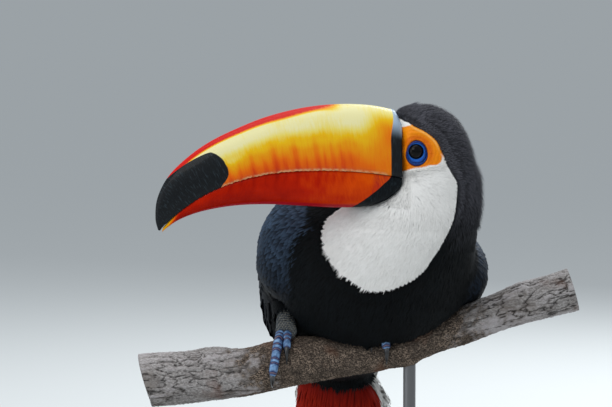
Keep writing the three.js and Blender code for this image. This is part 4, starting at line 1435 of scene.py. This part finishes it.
sheets = np.array([tail_feather(number) for number in range(TAIL_FEATHERS)])
per_feather = TAIL_STEPS * TAIL_COLUMNS
all_faces = repeated(grid_faces(TAIL_STEPS, TAIL_COLUMNS), TAIL_FEATHERS, per_feather)
along = np.repeat(np.linspace(0, 1, TAIL_STEPS), TAIL_COLUMNS)
across = np.tile(np.linspace(-1, 1, TAIL_COLUMNS), TAIL_STEPS)
tail = add_mesh("tail_feathers", sheets.reshape(-1, 3), all_faces, BLACK_WING, values={
    "along": np.tile(along, TAIL_FEATHERS),
    "across": np.tile(across, TAIL_FEATHERS),
    "tone": np.repeat(np.random.default_rng(5).random(TAIL_FEATHERS), per_feather),
}, replaces=["tail"])
thickened(tail, 0.35)
print("tail of", TAIL_FEATHERS, "feathers")

# %% Coverts of the tail and the vent
def covert_zone(points):
    """The skin of the tail's coverts and the body's end above them."""
    return (points - tail_root) @ TAIL_DOWN > COVERTS_FROM


COVERTS = [  # name, colour, material, slot
    ("undertail_tufts", 2, RED_VENT, "red_plumage"),
    ("rump_tufts", 1, WHITE_RUMP, "white_plumage"),
]
for seed, (name, colour, material, slot) in enumerate(COVERTS):
    roots, _ = patch_roots(1.7, 12, colour, covert_zone, seed + 90)
    roots = roots[skin_normals[nearest_skin(roots)] @ TAIL_DOWN < 0.5]
    full = depth_at(roots)
    length = np.random.default_rng(seed).uniform(14, 19, len(roots))
    lay_feathers(name, roots, length, 2.2, full * 0.3, full, material, rows=5, stray=5,
                 clump=0.2, clump_size=7, seed=seed + 92, trailing=TAIL_DOWN)

# %% [markdown]
# ## The bare face
# Round each eye the skin is naked: a wrinkled blue ring of lids, then a pebbled orange patch with
# a hollow above and behind the eye. The hollow is painted a darker orange as shade, and the raised
# rim along the top a lighter orange as highlight. It is a fan of rings about the eye. Its place to
# the side is read from the skin, and wrinkles, pebbles and folds are added as waves of the distance
# from the eye and of the angle.
# %% The folds of the face
EYEBALL = 6.5
LID = 5.75
RING = 7.8
LID_TOP = 24.5
FACE_SPOKES, FACE_RINGS = 360, 90
EYE_SPOKES, EYE_RINGS = 96, 60


def face_sheet(side):
    """Rings of points from the lid's edge to just under the feathers, and their values. out is
    the distance from the eye's middle, and within is 0 at the lid's edge and 1 at the ring's."""
    angle = circle_of(FACE_SPOKES)[None]
    share = np.linspace(0, 1, FACE_RINGS)[:, None]
    reach = face_reach(angle) + 1.6
    out = LID + (reach - LID) * share
    squash = 1 - 0.06 * np.abs(np.sin(angle)) * step(RING, LID, out)
    ahead = np.minimum(EYE["ahead"] + out * np.cos(angle), -0.25)
    above = EYE["up"] + out * squash * np.sin(angle)
    skin = height_field(side, ahead, above)
    flat = np.stack([ahead, above, 0 * ahead + side * 30], -1)
    low_share = step(0.2, -1.0, np.sin(angle))
    ring_edge = RING + 1.8 * np.sin(angle) ** 2 - 1.4 * np.sin(angle) - 1.1 * np.cos(angle)
    within = (out - LID) / (ring_edge - LID)
    lid_top = LID_TOP + 0.5 * np.sin(within.clip(0, 1) * math.pi) - 1.2 * step(0.55, 1.0, within)
    lid_top -= 0.9 * step(0.3, 0.0, out - LID)
    blend = step(1.12, 0.72, within)
    aside = skin + 0.55 + (lid_top - skin - 0.55).clip(0) * blend
    blue = step(1.06, 0.94, within)
    wrinkle = np.sin(within * 17 + 1.3 * np.sin(3 * angle) + 0.8 * wander(flat, 6, 3))
    wrinkle += 0.5 * np.sin(angle * 46 + 2 * np.sin(within * 9)) * low_share
    aside += blue * 0.22 * wrinkle * step(0.05, 0.3, within)
    groove = np.exp(-(((within - 1.06) / 0.07) ** 2))
    aside -= 0.55 * groove
    pebbles = wander(flat, 1.6, 7) * 0.10 + wander(flat, 4.5, 9) * 0.16
    folds = np.sin((out - 0.4 * wander(flat, 7, 12)) * 2.3) * step(RING, RING + 3, out) * 0.10
    # The hollow's mask dents the skin and also carries a painted shade of darker orange.
    hollow_and_shade = np.exp(-(((out - ring_edge - 2.2) / 2.4) ** 2)) * step(-0.6, 0.4, np.sin(angle - 0.45))
    aside += (pebbles + folds - 0.9 * hollow_and_shade) * (1 - blue)
    # The rim along the top stands out, and it is also painted lighter as a painted highlight.
    rim = np.exp(-(((share - 0.86) / 0.07) ** 2)) * step(-0.2, 0.5, np.sin(angle))
    aside += 0.45 * rim
    aside -= 0.9 * step(0.92, 1.0, share) + 1.5 * step(-6, -0.2, ahead) * (1 - blend)
    points = head_point(ahead, side * aside, above)
    white = step(-0.5, 0.5, above - 19.6 + 0.35 * ahead) * step(-10.5, -9, ahead)
    downy = out - face_reach(angle) + 0.5 * wander(flat, 1.5, 17)
    white = np.maximum(white, step(-1.7, -0.2, downy) * step(-0.05, -0.3, np.sin(angle)))
    outline = np.exp(-(((within - 1.02) / 0.075) ** 2))
    lid_edge = step(0.16, 0.02, within)
    bright = np.exp(-(((within - 0.22) / 0.16) ** 2)) + 0.5 * low_share * step(0.2, 1.2, wrinkle) * blue
    values = {
        "blue": blue, "hollow_and_shade": hollow_and_shade * (1 - blue), "rim": rim, "outline": outline,
        "white": white, "lid": lid_edge, "bright": bright * (0.75 + 0.25 * wander(flat, 3, 4)),
        "low": np.broadcast_to(low_share, out.shape),
    }
    return points, {key: value.ravel() for key, value in values.items()}


# %% Face and eye materials
face_material, tree = new_material("bare_face")
fine = noise(tree, 900.0, 4.0)
broad = noise(tree, 160.0, 3.0)
orange = layered(
    tree, between(tree, broad, 0.25, 0.75, (0.80, 0.225, 0.0), (0.82, 0.26, 0.001)),
    (stored(tree, "low", 0.4), (0.70, 0.12, 0.0)),
    # Painted shade: the hollow above and behind the eye is a darker orange.
    (stored(tree, "hollow_and_shade", 0.8), (0.60, 0.105, 0.0)),
    # Painted highlight: the raised rim along the top is a lighter orange.
    (stored(tree, "rim", 0.8), (0.88, 0.44, 0.10)),
    (stored(tree, "white"), (0.78, 0.76, 0.72)))
blue = between(tree, fine, 0.35, 0.7, (0.002, 0.014, 0.09), (0.006, 0.045, 0.24))
colour = layered(
    tree, orange,
    (stored(tree, "blue"), blended(tree, stored(tree, "bright"), blue, (0.018, 0.15, 0.62))),
    (stored(tree, "outline"), (0.001, 0.004, 0.02)),
    (stored(tree, "lid"), (0.002, 0.004, 0.010)))
principled(tree, colour, 0.42, 0.14, (fine, 0.35, 0.25))

eye_material, tree = new_material("eyeball")
off_axis = stored(tree, "off_axis")
iris = blended(tree, noise(tree, 1500.0, 3.0), (0.001, 0.0008, 0.0006), (0.005, 0.003, 0.002))
colour = layered(
    tree, (0.0012, 0.0012, 0.0015),
    (ramp_value(tree, off_axis, 2.9, 3.1), iris),
    (ramp_value(tree, off_axis, 4.9, 5.3), (0.004, 0.005, 0.008)))
principled(tree, colour, 0.04, 0.22, IOR=1.376)
print("face and eye materials made")

# %% Faces and eyes
def eyeball(side):
    """Rings of a ball from its outermost point inwards: the angle from the eye's axis sets each
    ring's radius by its sine and its place to the side by its cosine. Also each point's distance
    from the axis, for the pupil and the iris."""
    from_axis = np.linspace(0, math.pi, EYE_RINGS)[:, None]
    about = circle_of(EYE_SPOKES)[None]
    off_axis = EYEBALL * np.sin(from_axis) + 0 * about
    ahead = EYE["ahead"] + off_axis * np.cos(about)
    above = EYE["up"] + off_axis * np.sin(about)
    middle = EYE["out"] + EYE["radius"] - EYEBALL
    aside = side * (middle + EYEBALL * np.cos(from_axis) + 0 * about)
    return head_point(ahead, aside, above), off_axis


for side, side_name in SIDES:
    points, values = face_sheet(side)
    sheet_faces = grid_faces(points.shape[0], points.shape[1], wrap=True)
    rings, off_axis = eyeball(side)
    ball, ball_faces = lofted(rings)
    if side < 0:
        sheet_faces, ball_faces = sheet_faces[:, ::-1], ball_faces[:, ::-1]
    add_mesh(f"bare_face_{side_name}", points.reshape(-1, 3), sheet_faces, face_material, values=values)
    add_mesh(f"eyeball_{side_name}", ball, ball_faces, eye_material,
             values={"off_axis": with_ends(off_axis)}, replaces=[f"eye_{side_name}"])
print("faces and eyes made")

# %% [markdown]
# ## The branch
# A crooked length of wood with rough bark, sawn square at both ends. The bark's relief is made of
# waves stretched along the branch: broad ropes of wood under it, plates with deep furrows between
# them, and fine crumbling grain. Both ends are weathered grey and the middle is worn to brown.
# %% Sizes of the branch
PERCH_ROWS = [  # x, y, z and radius
    (-176, 4, -16.5, 21.8),
    (-136, 3, -13, 20.4),
    (-96, 1, -9, 19.4),
    (-56, 0, 0, 19.6),
    (-16, 0, 3.5, 15.4),
    (24, 1, 8.5, 13.8),
    (64, 5, 22.5, 14),
    (104, 10, 37.5, 14.4),
    (138, 12, 48, 16.4),
    (168, 12, 57, 17),
]
SAWN_FACING = unit(np.array([1.0, 0, 0.3]))
KNOTS = [  # x, angle round the wood from the back in degrees, width, height
    (33, -125, 8, 3.2),
    (-120, 60, 13, 3.5),
    (128, 120, 12, 3),
    (-38, -20, 8, 2),
]


# %% The bark's relief
def bark_relief(surface, x):
    """How far the bark stands off the wood, and its masks. Ropes, plates, grain, crumbs and grit
    are waves of falling size; a furrow lies where the plates' wave is near 0, deepest on the
    grey ends."""
    long = surface * [0.16, 1, 1]
    bent = long + 1.5 * np.stack([wander(surface, 30, k) for k in (32, 33, 34)], -1)
    plates = np.abs(wander(bent * [1.2, 1, 1], 11, 35) + 0.35 * wander(bent, 4, 38))
    grit = np.abs(wander(surface * [0.75, 1, 1], 2.5, 39)) - 0.3
    relief = 0.7 * wander(long, 24, 31) + 0.5 * step(0.0, 0.5, plates)
    relief += 0.3 * wander(bent, 3.6, 36) + 0.2 * wander(surface, 4.4, 37) + 0.5 * grit
    blotch = x + 16 * wander(surface, 17, 40) + 7 * wander(surface, 5, 41)
    grey = np.maximum(step(-82, -106, blotch), step(72, 104, blotch))
    furrow = step(0.15, 0.02, plates) * (0.35 + 0.65 * grey)
    relief -= 0.9 * furrow
    return relief, {"furrow": furrow, "relief": relief, "grey": grey, "grit": grit}


def perch_rings(t, angle):
    """The branch's rings: the middle plus the radius times cos and sin of the angle along the
    ring's back and up directions, with knots, a twisting swell and the bark's relief added."""
    rows = rows_at(PERCH_ROWS, t)
    before = rows_at(PERCH_ROWS, np.maximum(t - 0.01, 0))[:, :3]
    after = rows_at(PERCH_ROWS, np.minimum(t + 0.01, 1))[:, :3]
    sawn = ((t < 0.01) | (t > 0.99))[:, None]
    ahead = np.where(sawn, SAWN_FACING, unit(after - before))
    back = np.array([0.0, 1.0, 0.0])
    up = unit(np.cross(ahead, back))
    x = rows[:, :1]
    reach = rows[:, 3:4] + 0.5 * np.sin(x / 17 + 2 * angle)
    for knot_x, knot_angle, width, height in KNOTS:
        round_it = np.cos(angle - math.radians(knot_angle)) - 1
        reach = reach + height * np.exp(-(((x - knot_x) / width) ** 2) + 3.2 * round_it)
    circle = np.stack([0 * angle + 0 * x, np.cos(angle) + 0 * x, np.sin(angle) + 0 * x], -1)
    surface = circle * rows[:, 3][:, None, None]
    surface[..., 0] = x
    relief, masks = bark_relief(surface, x)
    reach = reach + relief - 0.35
    out = back * np.cos(angle)[..., None] + up[:, None] * np.sin(angle)[..., None]
    return (rows[:, :3] + PERCH)[:, None] + reach[..., None] * out, masks


# %% The branch with its sawn ends
BARK_SIDES, BARK_RINGS = 176, 404
near_ends = 0.0099
length_t = np.concatenate([
    np.linspace(0, near_ends, 4), np.linspace(0.0135, 0.9865, BARK_RINGS), np.linspace(1 - near_ends, 1, 4)])
bark, bark_values = perch_rings(length_t, circle_of(BARK_SIDES)[None])
shares = np.concatenate([np.linspace(0.04, 0.9, 20), [0.96, 0.985, 0.998]])
discs = []
for ring in (bark[0], bark[-1]):
    middle = ring.mean(0)
    discs.append(middle + (ring - middle) * shares[:, None, None])
rings = np.concatenate([discs[0], bark, discs[1][::-1]])
whole, on_end = np.ones(len(bark)), np.ones(len(shares))
by_ring = {
    "sawn": np.concatenate([on_end, 0 * whole, on_end]),
    "disc": np.concatenate([shares, whole, shares[::-1]]),
}
blank_disc = np.zeros((len(shares), bark.shape[1]))
values = {
    key: with_ends(np.concatenate([blank_disc, value, blank_disc])) for key, value in bark_values.items()
}
values |= {
    key: with_ends(np.broadcast_to(value[:, None], rings.shape[:2])) for key, value in by_ring.items()
}
points, faces = lofted(rings)
print("bark of", len(faces), "faces")

# %% Bark and sawn ends as a material
bark_material, tree = new_material("bark")
along_wood = noise(tree, 260.0, 6.0, (0.16, 1, 1), 0.65)
specks = noise(tree, 900.0, 5.0, (0.5, 1, 1), 0.7)
patches = noise(tree, 38.0, 5.0, (0.6, 1, 1), 0.6)
plain = between(tree, along_wood, 0.34, 0.68, (0.050, 0.038, 0.031), (0.24, 0.21, 0.19))
pale = between(tree, specks, 0.35, 0.7, (0.17, 0.155, 0.15), (0.42, 0.40, 0.39))
weathered = layered(
    tree, plain,
    (ramp_value(tree, patches, 0.30, 0.55), pale),
    (ramp_value(tree, stored(tree, "relief"), 0.2, 1.2, 0.0, 0.6), (0.44, 0.41, 0.42)))
granules = noise(tree, 1250.0, 3.0, (0.8, 1, 1), 0.6)
crumbly = calculate(tree, "MULTIPLY_ADD", stored(tree, "grit"), 0.22, granules)
dusky = ramp_value(tree, noise(tree, 70.0, 4.0), 0.35, 0.7, 0.0, 0.6)
brown = between(tree, crumbly, 0.42, 0.72, (0.030, 0.022, 0.017), (0.33, 0.25, 0.19))
brown = blended(tree, dusky, brown, (0.045, 0.035, 0.028))
rusty = ramp_value(tree, noise(tree, 24.0, 3.0), 0.58, 0.7, 0.0, 0.5)
year_rings = calculate(tree, "SINE", calculate(tree, "MULTIPLY_ADD", specks, 3.0, stored(tree, "disc", 46.0)))
fresh = between(tree, year_rings, -0.6, 1.0, (0.30, 0.185, 0.095), (0.50, 0.35, 0.20))
fresh = blended(tree, ramp_value(tree, stored(tree, "disc"), 0.86, 0.93), fresh, (0.07, 0.04, 0.025))
colour = layered(
    tree, brown,
    (stored(tree, "grey"), weathered),
    # Painted shade: the furrows are darkened almost to black.
    (stored(tree, "furrow", 0.85), (0.009, 0.006, 0.005)),
    (rusty, (0.12, 0.045, 0.022)),
    (stored(tree, "sawn"), fresh))
height = calculate(tree, "MULTIPLY_ADD", specks, 0.5, along_wood)
principled(tree, colour, 0.88, 0.25, (height, 0.75, 0.9))
add_mesh("bark", points, faces, bark_material, values=values, replaces=["perch"])
print("branch covered in bark")

# %% [markdown]
# ## Feet
# Two toes reach forward over the branch and two back. Broad scutes cover the top of each toe,
# small round scales its sides, and soft pads the sole. The shank is pebbled with small scales all
# round, and a cuff of tufts hides its top. A toe is a tube along its curve, and its radius is
# worked out from how far along each point is and from its angle round the toe.
# %% Toes over the branch
FEET = [  # x, outwards, and per toe: name, angles from and to, claw tip, drift, radius
    ("right", -61, -1, (
        ("front_outer", -8, 104, 138, 13, 4.3), ("front_inner", -4, 60, 88, 1.5, 3.8),
        ("rear_outer", 6, -98, -134, 10, 4.2), ("rear_inner", 4, -58, -90, -5, 3.7))),
    ("left", 11, 1, (
        ("front_outer", -8, 78, 122, 6, 4.2), ("front_inner", -4, 44, 76, -6, 3.8),
        ("rear_outer", 6, -98, -136, 9, 4.2), ("rear_inner", 4, -58, -92, -6, 3.7))),
]
TOE_LIFT = 0.9
TOE_SIDES, CLAW_SIDES, SHANK_SIDES = 44, 24, 72
SCUTE = 5.2
CLAW_ROOT, CLAW_TIP = 2.8, 0.3
ANKLE_THICK, SHANK_THICK = 9.8, 7.6


def over_perch(x, degrees, lift):
    """A point that rides on the branch: an angle forward of its top, clear of the wood by lift."""
    rows = rows_where(PERCH_ROWS, x)
    reach, angle = rows[..., 3] + lift, np.radians(degrees)
    y, z = rows[..., 1] - reach * np.sin(angle), rows[..., 2] + reach * np.cos(angle)
    return PERCH + np.stack([x + 0 * angle, y, z], -1)


def tube(centres, radius, up, around):
    """Rings along a curve. Each ring starts from its own up direction, laid square to the curve,
    and radius is one number per ring, or one per ring and angle. Also gives the angles."""
    ahead = unit(np.gradient(centres, axis=0))
    up = unit(up - ahead * dot(up, ahead)[:, None])
    side = np.cross(ahead, up)
    angle = circle_of(around)
    reach = radius if np.ndim(radius) == 2 else np.repeat(radius[:, None], around, 1)
    circle = up[:, None] * np.cos(angle)[None, :, None] + side[:, None] * np.sin(angle)[None, :, None]
    return centres[:, None] + circle * reach[..., None], angle


# %% Scaly tubes
def travelled(centres):
    """Length of the curve up to each of its points."""
    steps = np.linalg.norm(np.diff(centres, axis=0), axis=1)
    return np.concatenate([[0], np.cumsum(steps)])


def scaled(run, angle, radius, scute, pads):
    """Radius of a scaly toe. On top a saw wave, one tooth a scute; at the sides small round
    scales from two crossed waves; below broad pads. Also the crease and sole masks."""
    run, angle = run[:, None], angle[None]
    from_top = np.degrees(np.abs((angle + math.pi) % (2 * math.pi) - math.pi))
    top, sole = step(75, 50, from_top), step(115, 140, from_top)
    side = (1 - top) * (1 - sole)
    uneven = run + 1.1 * np.sin(run * 0.55 + radius)
    saw = (uneven / scute + 0.08 * np.cos(3 * angle)) % 1
    plate = np.sin(math.pi * saw.clip(0.02, 0.98)) ** 0.5
    shift = (np.floor(run * 2.1 / math.pi) % 2) * 1.57
    grains = np.abs(np.sin(run * 2.1) * np.sin(angle * 9 + shift)) ** 0.6
    lumps = 0.5 + 0.5 * np.cos(2 * math.pi * run / pads)
    raised = 0.6 * plate * top + 0.3 * grains * side + 0.5 * lumps**0.6 * sole
    crease = (1 - plate) * top + 0.8 * (1 - grains) * side + 0.6 * (1 - lumps) ** 4 * sole
    return radius + raised - 0.4, crease, sole + 0 * run


def pebbled(surface, radius):
    """Radius of the shank, set with small round scales in crossed rows by height and width, and
    the crease mask between them."""
    rows = surface[..., 2] * 1.9 + 0.4 * np.sin(surface[..., 0] * 0.9)
    shift = (np.floor(rows / math.pi) % 2) * 0.5 * math.pi
    scale = np.abs(np.sin(rows) * np.sin(surface[..., 0] * 1.4 + shift)) ** 0.5
    return radius + 0.8 * scale - 0.6, 1.02 - scale


# %% Scales and claw horn
foot_material, tree = new_material("foot_scales")
mottled = noise(tree, 300.0, 4.0)
blue = between(tree, mottled, 0.35, 0.7, (0.055, 0.13, 0.28), (0.22, 0.40, 0.66))
# Painted shade: each blue scute darkens to navy towards the creases round it, so its middle looks lit.
blue = blended(tree, ramp_value(tree, stored(tree, "crease"), 0.03, 0.30), blue, (0.010, 0.020, 0.10))
dark = between(tree, mottled, 0.35, 0.7, (0.010, 0.013, 0.017), (0.040, 0.050, 0.060))
between_scales = blended(tree, stored(tree, "shank"), (0.42, 0.25, 0.14), (0.26, 0.25, 0.20))
colour = layered(
    tree, blue,
    (stored(tree, "shank"), dark),
    (stored(tree, "sole", 0.75), (0.30, 0.17, 0.075)),
    (ramp_value(tree, stored(tree, "crease"), 0.5, 0.8, 0.0, 0.8), between_scales))
principled(tree, colour, 0.5, bump=(noise(tree, 1600.0, 3.0), 0.3, 0.12))

claw_material, tree = new_material("claw_horn")
streaky = noise(tree, 500.0, 3.0, (1, 1, 0.3))
colour = between(tree, streaky, 0.3, 0.7, (0.005, 0.006, 0.007), (0.020, 0.021, 0.023))
root_pale = ramp_value(tree, stored(tree, "along"), 0.25, 0.0, 0.0, 0.8)
principled(tree, blended(tree, root_pale, colour, (0.10, 0.10, 0.11)), 0.26)
print("scales and claw horn made")

# %% The thigh's cuff
SHANK_STEPS = np.array([(0, -5, -2), (0, 0, 0), (0, 9, 9), (0, 30, 24)], float)
SHANK_DOWN = unit(SHANK_STEPS[1] - SHANK_STEPS[3])
CUFF_RINGS, CUFF_TUFTS = 7, 64


def thigh_cuff(name, ankle, seed):
    """The feathered end of the thigh: tufts in rings round the top of the shank, hanging down
    along it. Each tuft leans in a little as it hangs, and its sides run round the shank."""
    rng = np.random.default_rng(seed)
    ring, spot = np.meshgrid(np.linspace(33, 19, CUFF_RINGS), np.arange(CUFF_TUFTS))
    up = ring.ravel() + rng.uniform(-1, 1, ring.size)
    angle = spot.ravel() * 2 * math.pi / CUFF_TUFTS + 0.05 * ring.ravel()
    angle += rng.uniform(-0.04, 0.04, ring.size)
    side = np.array([1.0, 0.0, 0.0])
    front = np.cross(side, SHANK_DOWN)
    out = side * np.cos(angle)[:, None] + front * np.sin(angle)[:, None]
    round_it = front * np.cos(angle)[:, None] - side * np.sin(angle)[:, None]
    v = np.linspace(0, 1, 6)[None, :, None, None]
    u = np.linspace(-1, 1, 3)[None, None, :, None]
    length = rng.uniform(9, 12, up.size)[:, None, None, None]
    sway = rng.normal(0, 0.8, up.size)[:, None, None, None]
    roots = ankle - SHANK_DOWN * up[:, None] + out * (7.5 + 0.1 * up[:, None])
    raised = 1.6 * np.sin(math.pi * (0.15 + 0.75 * v)) - 0.12 * u**2
    half = 0.75 * (1 - v**2.2) + 0.04
    rings = roots[:, None, None] + SHANK_DOWN * length * v + out[:, None, None] * raised
    rings = rings + round_it[:, None, None] * (u * half + sway * v**1.5)
    feather_mesh(name, rings, roots, BLACK, rng)


# %% A toe, its claw and the shank
def toe(foot_x, outwards, start, end, drift, radius):
    """A toe's rings, and its crease, sole and shank numbers: a scaly tube that rides over the
    branch from one angle to another, drifting outwards, with three knuckles and rounded ends."""
    t = np.linspace(0, 1, 110)
    x = foot_x + outwards * drift * (0.35 + 0.65 * t)
    bend = start + (end - start) * t
    bulge = np.sin(3 * math.pi * t) ** 2
    lift = radius + TOE_LIFT + 0.9 * np.sin(math.pi * t) + 0.35 * bulge
    centres = over_perch(x, bend, lift)
    away = centres - over_perch(x, bend, -8)
    run = travelled(centres)
    ends = round_end(t + 0.004, 0.08) * round_end(1.004 - t, 0.09)
    thick = (radius * (1 - 0.22 * t) + 0.25 * bulge) * ends
    reach, crease, sole = scaled(run, circle_of(TOE_SIDES), thick[:, None], SCUTE, run[-1] / 3)
    reach = np.maximum(reach * ends[:, None], 0.15)
    rings, _ = tube(centres, reach, unit(away), TOE_SIDES)
    return rings, crease * ends[:, None], sole, np.zeros_like(sole)


def claw(x, end, tip, sense, radius):
    """A claw's rings, and the share along it: a tube that narrows and arches from inside the
    toe's end to its tip on the wood, a little deeper than it is wide."""
    share = np.linspace(0, 1, 40)
    arch = 2.3 * np.sin(math.pi * np.minimum(1, share + 0.15))
    lift = radius + 0.6 + (1.6 - radius - 0.6) * share + arch
    sweep = end - sense * 5 + (tip - end + sense * 5) * share
    centres = over_perch(x + 0 * share, sweep, lift)
    size = (CLAW_ROOT + (CLAW_TIP - CLAW_ROOT) * share**0.95) * round_end(share + 0.02, 0.12)
    away = centres - over_perch(x + 0 * share, sweep, -8)
    rings, angle = tube(centres, size, unit(away), CLAW_SIDES)
    rings += (rings - centres[:, None]) * (0.12 * np.cos(angle)[None, :, None] ** 2 - 0.1)
    return rings, np.broadcast_to(share[:, None], rings.shape[:2])


def shank(ankle, outwards):
    """The shank's rings and numbers: a tube from the toes back and up into the thigh, thickest
    at the ankle, with the pebbles worked out on the smooth tube first."""
    steps = ankle + SHANK_STEPS
    steps[-1, 0] -= outwards * 3
    t = np.linspace(0, 1, 150)
    centres = rows_at(steps, t)
    thick = (ANKLE_THICK + (SHANK_THICK - ANKLE_THICK) * t) * round_end(t + 0.008, 0.2) - 0.6
    front = np.tile([0.0, -0.6, 0.8], (len(t), 1))
    smooth, _ = tube(centres, thick, front, SHANK_SIDES)
    reach, crease = pebbled(smooth, thick[:, None])
    rings, _ = tube(centres, reach, front, SHANK_SIDES)
    return rings, crease, 0 * crease, np.ones_like(crease)


def joined_shells(shells):
    """Points, faces and numbers of several closed shells as one mesh."""
    made = [lofted(rings) for rings, *_ in shells]
    starts = np.cumsum([0] + [len(points) for points, _ in made])
    points = np.concatenate([points for points, _ in made])
    faces = np.concatenate([faces + start for (_, faces), start in zip(made, starts)])
    numbers = {
        key: np.concatenate([with_ends(shell[k]) for shell in shells])
        for k, key in enumerate(("crease", "sole", "shank"), 1)
    }
    return points, faces, numbers


# %% Both feet
for side_name, foot_x, outwards, toes in FEET:
    shells = []
    for name, start, end, tip, drift, radius in toes:
        shells.append(toe(foot_x, outwards, start, end, drift, radius))
        rings, share = claw(foot_x + outwards * drift, end, tip, math.copysign(1, end - start), radius)
        points, faces = lofted(rings)
        node = f"claw_{side_name}_{name}"
        add_mesh(f"horn_{node}", points, faces, claw_material, replaces=[node],
                 values={"along": with_ends(share)})
    ankle = over_perch(np.array(foot_x + outwards * 2.0), np.array(8.0), 8.5)
    shells.append(shank(ankle, outwards))
    thigh_cuff(f"thigh_{side_name}", ankle, 121)
    points, faces, numbers = joined_shells(shells)
    add_mesh(f"foot_{side_name}", points, faces, foot_material, values=numbers,
             replaces=[f"leg_{side_name}"])
print("feet made")

# %% [markdown]
# ## Stand
# The stand keeps the solids' shapes: an oiled walnut board with a steel rod and collar.
# %% Stand materials
wood, tree = new_material("walnut")
grain = noise(tree, 70.0, 6.0, (0.12, 1, 1), 0.6)
pores = noise(tree, 900.0, 3.0, (0.05, 1, 1), 0.6)
colour = between(tree, grain, 0.35, 0.68, (0.055, 0.026, 0.013), (0.16, 0.082, 0.042))
colour = blended(tree, ramp_value(tree, pores, 0.56, 0.72, 0.0, 0.6), colour, (0.02, 0.010, 0.006))
principled(tree, colour, 0.36, bump=(pores, 0.15, 0.2))
steel, tree = new_material("brushed_steel")
brushed = noise(tree, 500.0, 2.0, (1, 1, 0.1))
principled(tree, (0.16, 0.16, 0.165), 0.38, bump=(brushed, 0.1, 0.1), Metallic=1.0)
for name, material in (("stand_base", wood), ("stand_rod", steel), ("stand_collar", steel)):
    bpy.data.objects[name].material_slots[0].material = material
print("stand dressed")

# %% [markdown]
# ## The floor
# One very large pale plane at the stand's underside is the floor. It is staging, not part of the
# bird.
# %% Floor
FLOOR_REACH = 60000.0
floor_material, tree = new_material("pale_floor")
principled(tree, FLOOR_COLOUR, 1.0, 0.0)
corners = np.array([(-1, -1, 0), (1, -1, 0), (1, 1, 0), (-1, 1, 0)]) * FLOOR_REACH
floor_mesh = bpy.data.meshes.new("floor")
floor_mesh.from_pydata((corners * MM).tolist(), [], [(0, 1, 2, 3)])
floor_mesh.materials.append(floor_material)
floor = bpy.data.objects.new("floor", floor_mesh)
bpy.context.scene.collection.objects.link(floor)
